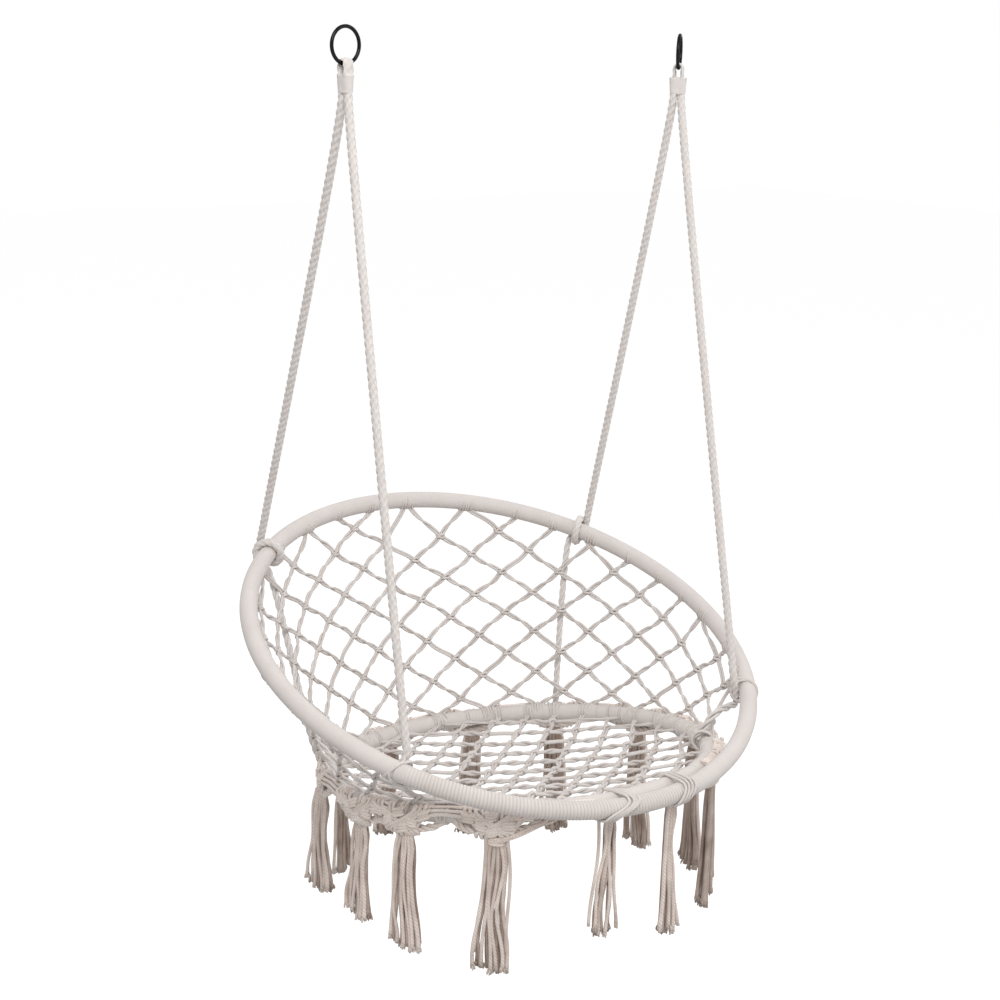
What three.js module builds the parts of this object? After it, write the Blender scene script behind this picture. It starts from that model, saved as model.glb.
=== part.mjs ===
// Hammock chair: a tilted upper hoop and a level seat hoop, wrapped in cotton cord, with a knotted net
// between them and another in the seat, hung by laid ropes from two steel rings.
// Millimetres. +Z is up, -Y is the open front, and the origin lies midway between the two places
// where the rings rest on their hooks.

import * as THREE from 'three';

const halfTurn = 180;
const fullTurn = 2 * halfTurn;
const degree = Math.PI / halfTurn;

// Clearances
const restGap = 0.3;
const turnGap = 0.6;
const seamGap = 0.6;

// Hanger rings: each is turned about the vertical as it hangs
const ringBore = 43;
const ringWire = 5.2;
const ringSpacing = 583;
const leftRingTurn = 10;
const rightRingTurn = 43;
const eyeGap = 0.74;

// Hoops: a steel tube in each, with a cotton cord wound round it
const upperRadius = 387;
const upperTilt = 20.2;
const upperDrop = 892.5;
const upperSetback = 13;
const seatRadius = 286;
const seatTilt = - 8.4;
const tubeThickness = 19;
const tubeWall = 1.5;
const wrapThickness = 3.2;
const spigotLength = 60;

// Ropes, and the cord that the nets, bindings and tassels are made of
const ropeThickness = 12;
const cordThickness = 4;
const whippingTurns = 4;
const hitchTurns = 1.2;
const bindingCrossings = 2;
const lashingTurns = 4;
const legLevel = 14;
const legTail = 12;
const eyeLead = 10;

// Where each rope meets the upper hoop, and each stay the seat hoop: turns round the hoop from +X
const rightBackTurn = 36;
const leftBackTurn = 129.2;
const leftFrontTurn = 213.5;
const rightFrontTurn = 324.3;
const seatJointTurns = [ 26, 112, 216, 293 ];
const rightBackStayTurn = 42;
const leftBackStayTurn = 138;
const leftFrontStayTurn = 212;
const rightFrontStayTurn = 327;
const stayTail = 4;
const ropeLead = 45;
const ropeHold = 22;

// The back net: columns of diamonds between the hoops, in rows a fixed height apart
const netCord = 7;
const netWaist = 5;
const netDepth = 4.5;
const knotWidth = 12;
const knotHeight = 13;
const knotDepth = 7;
const backRow = 34;
const backColumns = 15;
const backSeatStartTurn = - 38;
const backSeatEndTurn = 218;
const backUpperStartTurn = - 30;
const backUpperEndTurn = 208;
const knotMargin = 14;
const hitchMargin = 27;
const longestTieShare = 0.9;
const tieStepShare = 0.02;

// The seat net, which sags inside the seat hoop
const seatCell = 74;
const seatRow = 32;
const seatSag = 22;

// The skirt's swags and the tassels: turns round the seat hoop from +X, and shares of the full length
const tasselTurns = [ 12, 42, 69, 99, 125, 149, 183, 200.5, 227, 257.5, 279.7, 306, 327, 345 ];
const tasselShares = [ 1.1, 1.02, 1, 1, 0.95, 0.87, 0.82, 0.98, 1.13, 1, 1.15, 1.07, 1.03, 1.1 ];
const lashedTassels = [ 9, 10 ];
const tasselLength = 180;
const tasselHead = 20;
const tasselNeck = 17;
const tasselBody = 25;
const tasselFlare = 32;
const tasselWidthShare = 1.35;
const tasselDepthShare = 0.62;
const headHeight = 18;
const neckHeight = 9;
const swagThickness = 14;
const swagDrop = 26;
const swagLean = 8;
const swagReachShare = 0.94;
const swagShares = [ - 1, - 0.72, - 0.42, - 0.16, 0, 0.16, 0.42, 0.72, 1 ];
const swagEndSlope = 60;

// Facets
const hoopStepTurn = 7.5;
const wrapSides = 10;
const tubeSides = 6;
const ropeSides = 8;
const swagSides = 6;
const cordSides = 5;
const turnStations = 14;
const ringSides = 8;
const ringStations = 28;
const tasselSides = 8;
const arcStations = 6;

// Finishes
const cotton = { color: 0xd9d1cb, roughness: 0.95, metalness: 0 };
const shadeCotton = { color: 0xcfc5be, roughness: 0.95, metalness: 0 };
const darkSteel = { color: 0x1d1d1f, roughness: 0.22, metalness: 1 };
const bareSteel = { color: 0x8e9092, roughness: 0.45, metalness: 1 };

const wrapBore = tubeThickness + 2 * restGap / Math.cos( Math.PI / tubeSides );
const hoopThickness = wrapBore + 2 * wrapThickness;
const hoopReach = hoopThickness / 2;
const ropeReach = ropeThickness / 2;
const cordReach = cordThickness / 2;
const up = new THREE.Vector3( 0, 0, 1 );
const halfStation = 0.5;
const quarterTurn = Math.ceil( turnStations / 4 );

const chair = new THREE.Group();

function add( name, geometry, finish ) {

	const mesh = new THREE.Mesh( geometry, new THREE.MeshStandardMaterial( finish ) );
	mesh.name = name;
	chair.add( mesh );
	return mesh;

}

// A point moved along any number of directions
function moved( point, ...steps ) {

	const out = point.clone();
	for ( let i = 0; i < steps.length; i += 2 ) out.addScaledVector( steps[ i ], steps[ i + 1 ] );
	return out;

}

function mix( a, b, share ) {

	return a.clone().lerp( b, share );

}

// A hoop's exact frame at a turn in degrees: its centre line, the way out, the way along and its own up
function hoopFrame( hoop, turn ) {

	const slope = hoop.tilt * degree;
	const across = new THREE.Vector3( 1, 0, 0 );
	const back = new THREE.Vector3( 0, Math.cos( slope ), Math.sin( slope ) );
	const c = Math.cos( turn * degree );
	const s = Math.sin( turn * degree );
	const out = moved( new THREE.Vector3(), across, c, back, s );
	const along = moved( new THREE.Vector3(), across, - s, back, c );
	return { at: moved( hoop.centre, out, hoop.radius ), out, along };

}

// A hoop with its stations: the places where its straight facets meet, with one at each joint in its wrap
function makeHoop( radius, centre, tilt, joints ) {

	const hoop = { radius, centre, tilt, turns: [], marks: [] };
	joints.forEach( ( from, i ) => {

		const to = i + 1 < joints.length ? joints[ i + 1 ] : joints[ 0 ] + fullTurn;
		const parts = Math.round( ( to - from ) / hoopStepTurn );
		hoop.marks.push( hoop.turns.length );
		for ( let k = 0; k < parts; k ++ ) hoop.turns.push( from + ( to - from ) * k / parts );

	} );
	hoop.marks.push( hoop.turns.length );
	return hoop;

}

// The facets' own frame at a station number, which may lie between two stations
function stationFrame( hoop, station ) {

	const count = hoop.turns.length;
	const low = Math.floor( station );
	const share = station - low;
	const turnOf = ( k ) => hoop.turns[ ( ( k % count ) + count ) % count ];
	const a = hoopFrame( hoop, turnOf( low ) );
	const b = hoopFrame( hoop, turnOf( low + 1 ) );
	return {
		at: mix( a.at, b.at, share ),
		out: mix( a.out, b.out, share ),
		along: mix( a.along, b.along, share )
	};

}

// The facets' own frame at a turn in degrees
function facetFrame( hoop, turn ) {

	const first = hoop.turns[ 0 ];
	const wanted = first + ( ( ( turn - first ) % fullTurn ) + fullTurn ) % fullTurn;
	const ends = [ ...hoop.turns, first + fullTurn ];
	let low = 0;
	while ( ends[ low + 1 ] <= wanted ) low ++;
	return stationFrame( hoop, low + ( wanted - ends[ low ] ) / ( ends[ low + 1 ] - ends[ low ] ) );

}

// A run of a hoop between two station numbers, whose stations are the hoop's own
class HoopRun extends THREE.Curve {

	constructor( hoop, from, to ) {

		super();
		this.hoop = hoop;
		this.marks = [ from ];
		for ( let k = Math.floor( from ) + 1; k < to; k ++ ) this.marks.push( k );
		this.marks.push( to );

	}

	get steps() {

		return this.marks.length - 1;

	}

	frame( t ) {

		const place = t * this.steps;
		const low = Math.min( Math.floor( place ), this.steps - 1 );
		const from = this.marks[ low ];
		const to = this.marks[ low + 1 ];
		return stationFrame( this.hoop, from + ( to - from ) * ( place - low ) );

	}

	getPoint( t ) {

		return this.frame( t ).at;

	}

	getUtoTmapping( u ) {

		return u;

	}

	computeFrenetFrames( segments ) {

		const frames = { tangents: [], normals: [], binormals: [] };
		for ( let i = 0; i <= segments; i ++ ) {

			const { out, along } = this.frame( i / segments );
			frames.tangents.push( along );
			frames.normals.push( out );
			frames.binormals.push( along.clone().cross( out ) );

		}

		return frames;

	}

}

// A route through points, with a station at each of them. Where the rests are given, which are the places that
// it lies against, a corner of its section turns towards them.
class Route extends THREE.CatmullRomCurve3 {

	constructor( points, rests ) {

		super( points, false, 'centripetal' );
		this.rests = rests;

	}

	getUtoTmapping( u ) {

		return u;

	}

	computeFrenetFrames( segments ) {

		if ( ! this.rests ) return super.computeFrenetFrames( segments );
		const frames = { tangents: [], normals: [], binormals: [] };
		for ( let i = 0; i <= segments; i ++ ) {

			const tangent = this.getTangentAt( i / segments );
			const normal = this.rests[ i ].clone().sub( this.points[ i ] ).normalize();
			normal.addScaledVector( tangent, - normal.dot( tangent ) ).normalize();
			frames.tangents.push( tangent );
			frames.normals.push( normal );
			frames.binormals.push( tangent.clone().cross( normal ) );

		}

		return frames;

	}

}

function polygon( reach, sides ) {

	const points = [];
	for ( let i = 0; i < sides; i ++ ) {

		const angle = 2 * Math.PI * i / sides;
		points.push( new THREE.Vector2( reach * Math.cos( angle ), reach * Math.sin( angle ) ) );

	}

	return points;

}

function pipe( path, steps, reach, sides, bore = 0, boreSides = sides ) {

	const section = new THREE.Shape( polygon( reach, sides ) );
	if ( bore > 0 ) section.holes.push( new THREE.Path( polygon( bore, boreSides ) ) );
	return new THREE.ExtrudeGeometry( section, { steps, extrudePath: path } );

}

function cord( points, thickness, sides, rests ) {

	return pipe( new Route( points, rests ), points.length - 1, thickness / 2, sides );

}

// How near a wound cord comes to itself, measured between points that are half a turn or more apart
function leastGap( name, points, thickness ) {

	let least = Infinity;
	for ( let i = 0; i < points.length; i ++ ) {

		for ( let j = i + turnStations / 2; j < points.length; j ++ ) {

			least = Math.min( least, points[ i ].distanceTo( points[ j ] ) - thickness );

		}

	}

	console.log( name, 'least gap to itself', least.toFixed( 2 ), 'mm' );

}

// The points of a cord wound round one or two bars side by side. Each bar gives its centre at a distance
// along the winding. At every station the cord lies on the bar that stands out most in that direction.
// The start is counted in stations, chosen so that the cord changes bars midway between two of them.
function winding( { bars, right, rise, turns, start, thickness } ) {

	const points = [];
	const count = Math.round( turns * turnStations );
	const pitch = thickness + turnGap;
	for ( let i = 0; i <= count; i ++ ) {

		const angle = 2 * Math.PI * ( start + i ) / turnStations;
		const way = moved( new THREE.Vector3(), right, Math.cos( angle ), rise, Math.sin( angle ) );
		const far = ( i / turnStations - turns / 2 ) * pitch;
		let best = null;
		let most = - Infinity;
		for ( const bar of bars ) {

			const centre = bar.at( far );
			const reach = way.dot( centre ) + bar.reach;
			if ( reach > most ) {

				most = reach;
				best = { centre, reach: bar.reach };

			}

		}

		const stand = ( best.reach + thickness / 2 + restGap ) / Math.cos( Math.PI / turnStations );
		points.push( moved( best.centre, way, stand ) );

	}

	return points;

}

// The points of a cord that ties a rope to a hoop it crosses. It goes over the rope once in every turn, each
// time beside the last, and returns slantwise round the far side of the hoop.
function crossTie( { bar, reach, side, rise, along, crossings } ) {

	const points = [];
	const pitch = cordThickness + turnGap;
	const beside = ropeReach + restGap + cordReach;
	const ropeOut = reach + restGap + ropeReach;
	const stand = ( reach + cordReach + restGap ) / Math.cos( Math.PI / turnStations );
	const first = halfStation * 3;
	const span = turnStations - 2 * first;
	const middle = Math.round( span / 2 );
	const around = ( from, to, first, last ) => {

		for ( let i = first; i <= last; i ++ ) {

			const angle = - 2 * Math.PI * ( halfStation * 3 + i ) / turnStations;
			const centre = bar( from + ( to - from ) * i / span );
			points.push( moved( centre, side, stand * Math.cos( angle ), rise, stand * Math.sin( angle ) ) );

		}

	};

	for ( let k = 0; k < crossings; k ++ ) {

		const left = - beside - pitch * ( crossings - 1 - k );
		const right = beside + pitch * k;
		const height = pitch * ( k - ( crossings - 1 ) / 2 );
		if ( k === 0 ) around( right - pitch, left, middle, span );
		points.push( moved( bar( left ), side, ropeOut, rise, height ) );
		for ( let i = 1; i < arcStations; i ++ ) {

			const angle = Math.PI * ( i / arcStations - halfStation );
			const far = beside * Math.sin( angle );
			points.push( moved( bar( far ), side, ropeOut + beside * Math.cos( angle ), rise, height ) );

		}

		points.push( moved( bar( right ), side, ropeOut, rise, height ) );
		const last = k === crossings - 1;
		around( right, left + pitch, 0, last ? middle - 1 : span );

	}

	return points;

}

// The two hoops. They touch at the front, where the seat hoop lies just behind the upper hoop.
const upper = makeHoop( upperRadius, new THREE.Vector3( 0, upperSetback, - upperDrop ), upperTilt,
	[ rightBackTurn, leftBackTurn, leftFrontTurn, rightFrontTurn ] );
const upperFront = hoopFrame( upper, 270 ).at;
const seatFront = upperFront.clone().add( new THREE.Vector3( 0, hoopThickness + 2 * restGap, 0 ) );
const seatSlope = seatTilt * degree;
const seatCentre = seatFront.clone().add(
	new THREE.Vector3( 0, seatRadius * Math.cos( seatSlope ), seatRadius * Math.sin( seatSlope ) ) );
const seat = makeHoop( seatRadius, seatCentre, seatTilt, seatJointTurns );

const wrapSuffixes = [ 'wrap_back', 'wrap_left', 'wrap_front', 'wrap_right' ];

function buildHoop( name, hoop, wrapNames ) {

	const count = hoop.turns.length;
	const stepLength = 2 * Math.PI * hoop.radius / count;
	const seam = seamGap / 2 / stepLength;
	const tubeReach = tubeThickness / 2;
	const boreReach = tubeReach - tubeWall;
	const tubeRun = new HoopRun( hoop, seam, count - seam );
	add( name + '_tube', pipe( tubeRun, tubeRun.steps, tubeReach, tubeSides, boreReach ), bareSteel );
	const half = spigotLength / 2 / stepLength;
	const spigotRun = new HoopRun( hoop, - half, half );
	const spigotReach = boreReach - restGap / Math.cos( Math.PI / tubeSides );
	add( name + '_spigot', pipe( spigotRun, spigotRun.steps, spigotReach, tubeSides ), bareSteel );
	wrapNames.forEach( ( wrapName, i ) => {

		const run = new HoopRun( hoop, hoop.marks[ i ] + seam, hoop.marks[ i + 1 ] - seam );
		add( wrapName, pipe( run, run.steps, hoopReach, wrapSides, wrapBore / 2, tubeSides ), cotton );

	} );

}

buildHoop( 'upper_hoop', upper, wrapSuffixes.map( ( suffix ) => 'upper_' + suffix ) );
buildHoop( 'seat_hoop', seat, wrapSuffixes.map( ( suffix ) => 'seat_' + suffix ) );

// Rings and ropes. One rope on each side runs from the back of the upper hoop, over its ring and to the front.
const ringReach = ( ringBore + ringWire ) / 2;

function backHitch( hoop, turn, top ) {

	const { at, out, along } = facetFrame( hoop, turn );
	const toTop = top.clone().sub( at );
	const rise = toTop.addScaledVector( along, - toTop.dot( along ) ).normalize();
	const side = along.clone().cross( rise ).normalize();
	if ( side.dot( out ) < 0 ) side.negate();
	const around = 1 / degree / hoop.radius;
	const bars = [ { at: ( far ) => facetFrame( hoop, turn + far * around ).at, reach: hoopReach } ];
	const points = winding( {
		bars, right: side, rise: rise.clone().negate(), turns: hitchTurns, start: 0, thickness: ropeThickness
	} );
	return { points, rise };

}

function frontRest( hoop, turn, top ) {

	const { at, out, along } = facetFrame( hoop, turn );
	const toTop = top.clone().sub( at );
	const rise = toTop.addScaledVector( along, - toTop.dot( along ) ).normalize();
	const side = along.clone().cross( rise ).normalize();
	if ( side.dot( out ) > 0 ) side.negate();
	const touch = moved( at, side, hoopReach + ropeReach + restGap );
	return { touch, rise, side, along };

}

// A stay carries a rope on from its end at the upper hoop to the side of the seat hoop: to its outside at the
// back, and to its inside at the front
function addStay( name, from, way, seatTurn, outside ) {

	const { at, out, along } = facetFrame( seat, seatTurn );
	const start = moved( from, way, turnGap );
	const run = at.clone().sub( start );
	const fall = run.addScaledVector( along, - run.dot( along ) ).normalize();
	const side = along.clone().cross( fall ).normalize();
	if ( ( side.dot( out ) > 0 ) !== outside ) side.negate();
	const end = moved( at, side, hoopReach + ropeReach + restGap );
	const points = [
		start, moved( start, way, eyeLead ), moved( end, fall, - ropeLead ), end, moved( end, fall, stayTail )
	];
	add( name, cord( points, ropeThickness, ropeSides ), cotton );

}

function buildSide( side, sign, ringTurn, backTurn, frontTurn, backStayTurn, frontStayTurn ) {

	const x = sign * ringSpacing / 2;
	const torus = new THREE.TorusGeometry( ringReach, ringWire / 2, ringSides, ringStations );
	const ring = add( side + '_ring', torus, darkSteel );
	ring.position.set( x, 0, - ringBore / 2 );
	ring.rotation.set( Math.PI / 2, 0, ringTurn * degree, 'ZXY' );

	// The rope's eye, over the bottom of the ring's wire
	const wire = new THREE.Vector3( x, 0, - ringBore / 2 - ringReach );
	const turn = ringTurn * degree;
	const through = new THREE.Vector3( - Math.sin( turn ), Math.cos( turn ), 0 );
	const wireWay = new THREE.Vector3( Math.cos( turn ), Math.sin( turn ), 0 );
	const bend = ( ringWire / 2 + ropeReach + eyeGap ) / Math.cos( Math.PI / 2 / arcStations );
	const legReach = ropeReach + turnGap / 2;
	const whippingHeight = whippingTurns * ( cordThickness + turnGap ) + cordThickness;
	const eye = [];
	for ( let i = 0; i <= arcStations; i ++ ) {

		const angle = Math.PI * i / arcStations;
		eye.push( moved( wire, through, bend * Math.cos( angle ), up, bend * Math.sin( angle ) ) );

	}

	const legTop = - legLevel;
	const legFoot = legTop - whippingHeight - eyeLead;
	const legPoint = ( way, height ) => moved( wire, through, way * legReach, up, height );
	const backLeg = [ legPoint( 1, legFoot ), legPoint( 1, legTop ) ];
	const frontLeg = [ legPoint( - 1, legTop ), legPoint( - 1, legFoot ) ];

	const hitch = backHitch( upper, backTurn, backLeg[ 0 ] );
	const rest = frontRest( upper, frontTurn, frontLeg[ 1 ] );
	const backTouch = hitch.points[ 0 ];
	const backLead = mix( backTouch, backLeg[ 0 ], ropeLead / backTouch.distanceTo( backLeg[ 0 ] ) );
	const frontHold = moved( rest.touch, rest.rise, ropeHold );
	const frontLead = mix( frontHold, frontLeg[ 1 ], ropeLead / frontHold.distanceTo( frontLeg[ 1 ] ) );
	const frontEnd = moved( rest.touch, rest.rise, - legTail );
	const points = [
		...hitch.points.slice().reverse(), backLead, ...backLeg,
		...eye, ...frontLeg, frontLead, frontHold, rest.touch, frontEnd
	];
	leastGap( side + '_rope', hitch.points, ropeThickness );
	add( side + '_rope', cord( points, ropeThickness, ropeSides ), cotton );

	// The whipping holds the two legs together under the ring
	const middle = ( legTop + legFoot ) / 2;
	const legBar = ( way ) => ( { at: ( far ) => legPoint( way, middle + far ), reach: ropeReach } );
	const legs = [ legBar( 1 ), legBar( - 1 ) ];
	const whipping = winding( {
		bars: legs, right: wireWay, rise: through, turns: whippingTurns,
		start: halfStation, thickness: cordThickness
	} );
	leastGap( side + '_whipping', whipping, cordThickness );
	add( side + '_whipping', cord( whipping, cordThickness, cordSides ), cotton );

	// The binding ties the rope's front end to the upper hoop
	const around = 1 / degree / upper.radius;
	const binding = crossTie( {
		bar: ( far ) => facetFrame( upper, frontTurn + far * around ).at,
		reach: hoopReach, side: rest.side, rise: rest.rise, along: rest.along, crossings: bindingCrossings
	} );
	leastGap( side + '_front_binding', binding, cordThickness );
	add( side + '_front_binding', cord( binding, cordThickness, cordSides ), shadeCotton );

	const last = hitch.points.length - 1;
	const way = hitch.points[ last ].clone().sub( hitch.points[ last - 1 ] ).normalize();
	addStay( side + '_back_stay', hitch.points[ last ], way, backStayTurn, true );
	addStay( side + '_front_stay', frontEnd, rest.rise.clone().negate(), frontStayTurn, false );

}

buildSide( 'left', - 1, leftRingTurn, leftBackTurn, leftFrontTurn, leftBackStayTurn, leftFrontStayTurn );
buildSide( 'right', 1, rightRingTurn, rightBackTurn, rightFrontTurn, rightBackStayTurn, rightFrontStayTurn );

// The front lashings, each wound round both hoops above a tassel
const lashingFeet = {};
lashedTassels.forEach( ( index, i ) => {

	const seatTurn = tasselTurns[ index ];
	const x = seat.radius * Math.cos( seatTurn * degree );
	const upperTurn = fullTurn - Math.acos( x / upper.radius ) / degree;
	const upperAround = 1 / degree / upper.radius;
	const seatAround = 1 / degree / seat.radius;
	const upperAt = ( far ) => facetFrame( upper, upperTurn + far * upperAround );
	const seatAt = ( far ) => facetFrame( seat, seatTurn + far * seatAround );
	const between = seatAt( 0 ).at.sub( upperAt( 0 ).at ).normalize();
	const rise = between.clone().cross( upperAt( 0 ).along ).normalize();
	const square = between.clone().cross( rise );
	const bars = [ upperAt, seatAt ].map( ( place ) => ( {
		at: ( far ) => place( far ).at,
		reach: hoopReach / Math.abs( place( 0 ).along.normalize().dot( square ) )
	} ) );
	const points = winding( {
		bars, right: between, rise, turns: lashingTurns, start: 1 - quarterTurn, thickness: cordThickness
	} );
	lashingFeet[ index ] = Math.min( ...points.map( ( p ) => p.z ) ) - cordReach;
	const name = [ 'left', 'right' ][ i ] + '_lashing';
	leastGap( name, points, cordThickness );
	add( name, cord( points, cordThickness, cordSides ), shadeCotton );

} );

// A net is one closed surface: a knot is a block turned on its corner, and a strand leaves each of its
// four sides. A knot's corners run right, top, left, bottom. Side number i lies between corner i and the next.
class Net {

	constructor() {

		this.points = [];
		this.faces = [];

	}

	point( p ) {

		this.points.push( p );
		return this.points.length - 1;

	}

	quad( a, b, c, d ) {

		this.faces.push( a, b, c, a, c, d );

	}

	knot( at, right, rise ) {

		const out = right.clone().cross( rise ).normalize();
		const corners = [
			moved( at, right, knotWidth / 2 ), moved( at, rise, knotHeight / 2 ),
			moved( at, right, - knotWidth / 2 ), moved( at, rise, - knotHeight / 2 ),
		];
		const outer = corners.map( ( c ) => this.point( moved( c, out, knotDepth / 2 ) ) );
		const inner = corners.map( ( c ) => this.point( moved( c, out, - knotDepth / 2 ) ) );
		this.quad( outer[ 0 ], outer[ 1 ], outer[ 2 ], outer[ 3 ] );
		this.quad( inner[ 3 ], inner[ 2 ], inner[ 1 ], inner[ 0 ] );
		return { at, right, rise, out, outer, inner, used: [ false, false, false, false ] };

	}

	// The four points of a knot's side, in the order a strand leaving it needs
	side( knot, i ) {

		const j = ( i + 1 ) % 4;
		knot.used[ i ] = true;
		return [ knot.outer[ i ], knot.outer[ j ], knot.inner[ j ], knot.inner[ i ] ];

	}

	walls( a, b ) {

		this.quad( a[ 0 ], b[ 0 ], b[ 1 ], a[ 1 ] );
		this.quad( a[ 3 ], a[ 2 ], b[ 2 ], b[ 3 ] );
		this.quad( a[ 0 ], a[ 3 ], b[ 3 ], b[ 0 ] );
		this.quad( a[ 1 ], b[ 1 ], b[ 2 ], a[ 2 ] );

	}

	// A ring of four points across a strand
	ring( at, across, out, width, depth ) {

		return [ [ - 1, 1 ], [ 1, 1 ], [ 1, - 1 ], [ - 1, - 1 ] ].map( ( [ a, b ] ) =>
			this.point( moved( at, across, a * width / 2, out, b * depth / 2 ) ) );

	}

	strand( from, i, to, j, waist ) {

		const a = this.side( from, i );
		const b = this.side( to, j );
		const far = [ b[ 1 ], b[ 0 ], b[ 3 ], b[ 2 ] ];
		if ( waist ) {

			const way = to.at.clone().sub( from.at ).normalize();
			const out = mix( from.out, to.out, 0.5 ).normalize();
			const across = out.clone().cross( way ).normalize();
			const middle = this.ring( mix( from.at, to.at, 0.5 ), across, out, netWaist, netDepth );
			this.walls( a, middle );
			this.walls( middle, far );

		} else {

			this.walls( a, far );

		}

	}

	// A strand that ends flat against a hoop's wrapping
	tie( from, i, hoop, turn ) {

		const frame = facetFrame( hoop, turn );
		const along = frame.along.clone().normalize();
		const way = from.at.clone().sub( frame.at );
		way.addScaledVector( along, - way.dot( along ) ).normalize();
		const end = moved( frame.at, way, hoopReach + restGap );
		const heading = end.clone().sub( from.at ).normalize();
		let across = along.clone();
		if ( across.dot( from.out.clone().cross( heading ) ) < 0 ) across.negate();
		const depthWay = across.clone().cross( way ).normalize();
		if ( depthWay.dot( from.out ) < 0 ) depthWay.negate();
		const a = this.side( from, i );
		const b = this.ring( end, across, depthWay, netCord, netDepth );
		this.walls( a, b );
		this.quad( b[ 1 ], b[ 0 ], b[ 3 ], b[ 2 ] );

	}

	close( knots ) {

		for ( const knot of knots ) {

			for ( let i = 0; i < 4; i ++ ) {

				if ( knot.used[ i ] ) continue;
				const [ a, b, c, d ] = this.side( knot, i );
				this.quad( b, a, d, c );

			}

		}

	}

	geometry() {

		const geometry = new THREE.BufferGeometry();
		const places = this.points.flatMap( ( p ) => p.toArray() );
		geometry.setAttribute( 'position', new THREE.Float32BufferAttribute( places, 3 ) );
		geometry.setIndex( this.faces );
		geometry.computeVertexNormals();
		return geometry;

	}

}

// Ties that share a hoop are moved apart until neighbours clear each other and every place that is taken
function spreadTies( ties, radius, taken ) {

	const least = ( netCord + 2 * turnGap ) / radius / degree;
	const clear = hitchMargin / radius / degree;
	for ( const tie of ties ) {

		for ( const place of taken ) {

			const off = ( ( tie.turn - place + fullTurn + halfTurn ) % fullTurn ) - halfTurn;
			if ( Math.abs( off ) < clear ) tie.turn += Math.sign( off || 1 ) * ( clear - Math.abs( off ) );

		}

	}

	ties.sort( ( a, b ) => a.turn - b.turn );
	for ( let pass = 0; pass < 8; pass ++ ) {

		for ( let i = 1; i < ties.length; i ++ ) {

			const short = least - ( ties[ i ].turn - ties[ i - 1 ].turn );
			if ( short <= 0 ) continue;
			ties[ i ].turn += short / 2;
			ties[ i - 1 ].turn -= short / 2;

		}

	}

}

// The back net lies on straight lines from the seat hoop to the upper hoop
function buildBackNet() {

	const net = new Net();
	const line = ( u ) => {

		const share = u / backColumns;
		const low = hoopFrame( seat, backSeatStartTurn + ( backSeatEndTurn - backSeatStartTurn ) * share );
		const high = hoopFrame( upper, backUpperStartTurn + ( backUpperEndTurn - backUpperStartTurn ) * share );
		const way = high.at.clone().sub( low.at );
		const length = way.length();
		return { low, high, length, rise: way.normalize() };

	};

	const rows = [];
	const reach = hoopReach + knotMargin + knotHeight / 2;
	for ( let r = 1; r * backRow < 2 * upperRadius; r ++ ) {

		const row = [];
		const shift = r % 2 ? 0.5 : 1;
		for ( let i = 0; i + shift < backColumns; i ++ ) {

			const u = i + shift;
			const { low, high, length, rise } = line( u );
			const height = r * backRow;
			if ( height > length - reach ) continue;
			const at = moved( low.at, rise, height );
			const along = mix( low.along, high.along, height / length );
			const out = along.clone().cross( rise ).normalize();
			const right = rise.clone().cross( out ).normalize();
			row.push( Object.assign( net.knot( at, right, rise ), { u, height } ) );

		}

		rows.push( row );

	}

	const seatTies = [];
	const upperTies = [];
	rows.forEach( ( row, r ) => {

		for ( const knot of row ) {

			for ( const sign of [ 1, - 1 ] ) {

				const upperSide = sign > 0 ? 0 : 1;
				const wanted = knot.u + sign / 2;
				const next = ( rows[ r + 1 ] || [] ).find( ( k ) => Math.abs( k.u - wanted ) < tieStepShare );
				if ( next ) {

					net.strand( knot, upperSide, next, upperSide + 2, true );

				} else {

					let rise = 0;
					while ( rise < longestTieShare && knot.height + rise * backRow <
						line( knot.u + sign * rise / 2 ).length - hoopReach ) rise += tieStepShare;
					const u = knot.u + sign * rise / 2;
					const turn = backUpperStartTurn + ( backUpperEndTurn - backUpperStartTurn ) * u / backColumns;
					upperTies.push( { knot, side: upperSide, turn } );

				}

				if ( r > 0 ) continue;
				const u = knot.u + sign * longestTieShare / 2;
				const turn = backSeatStartTurn + ( backSeatEndTurn - backSeatStartTurn ) * u / backColumns;
				seatTies.push( { knot, side: sign > 0 ? 3 : 2, turn } );

			}

		}

	} );

	spreadTies( seatTies, seat.radius, [] );
	spreadTies( upperTies, upper.radius, [ rightBackTurn, leftBackTurn ] );
	for ( const tie of seatTies ) net.tie( tie.knot, tie.side, seat, tie.turn );
	for ( const tie of upperTies ) net.tie( tie.knot, tie.side, upper, tie.turn );
	net.close( rows.flat() );
	add( 'back_net', net.geometry(), cotton );

}

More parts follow.
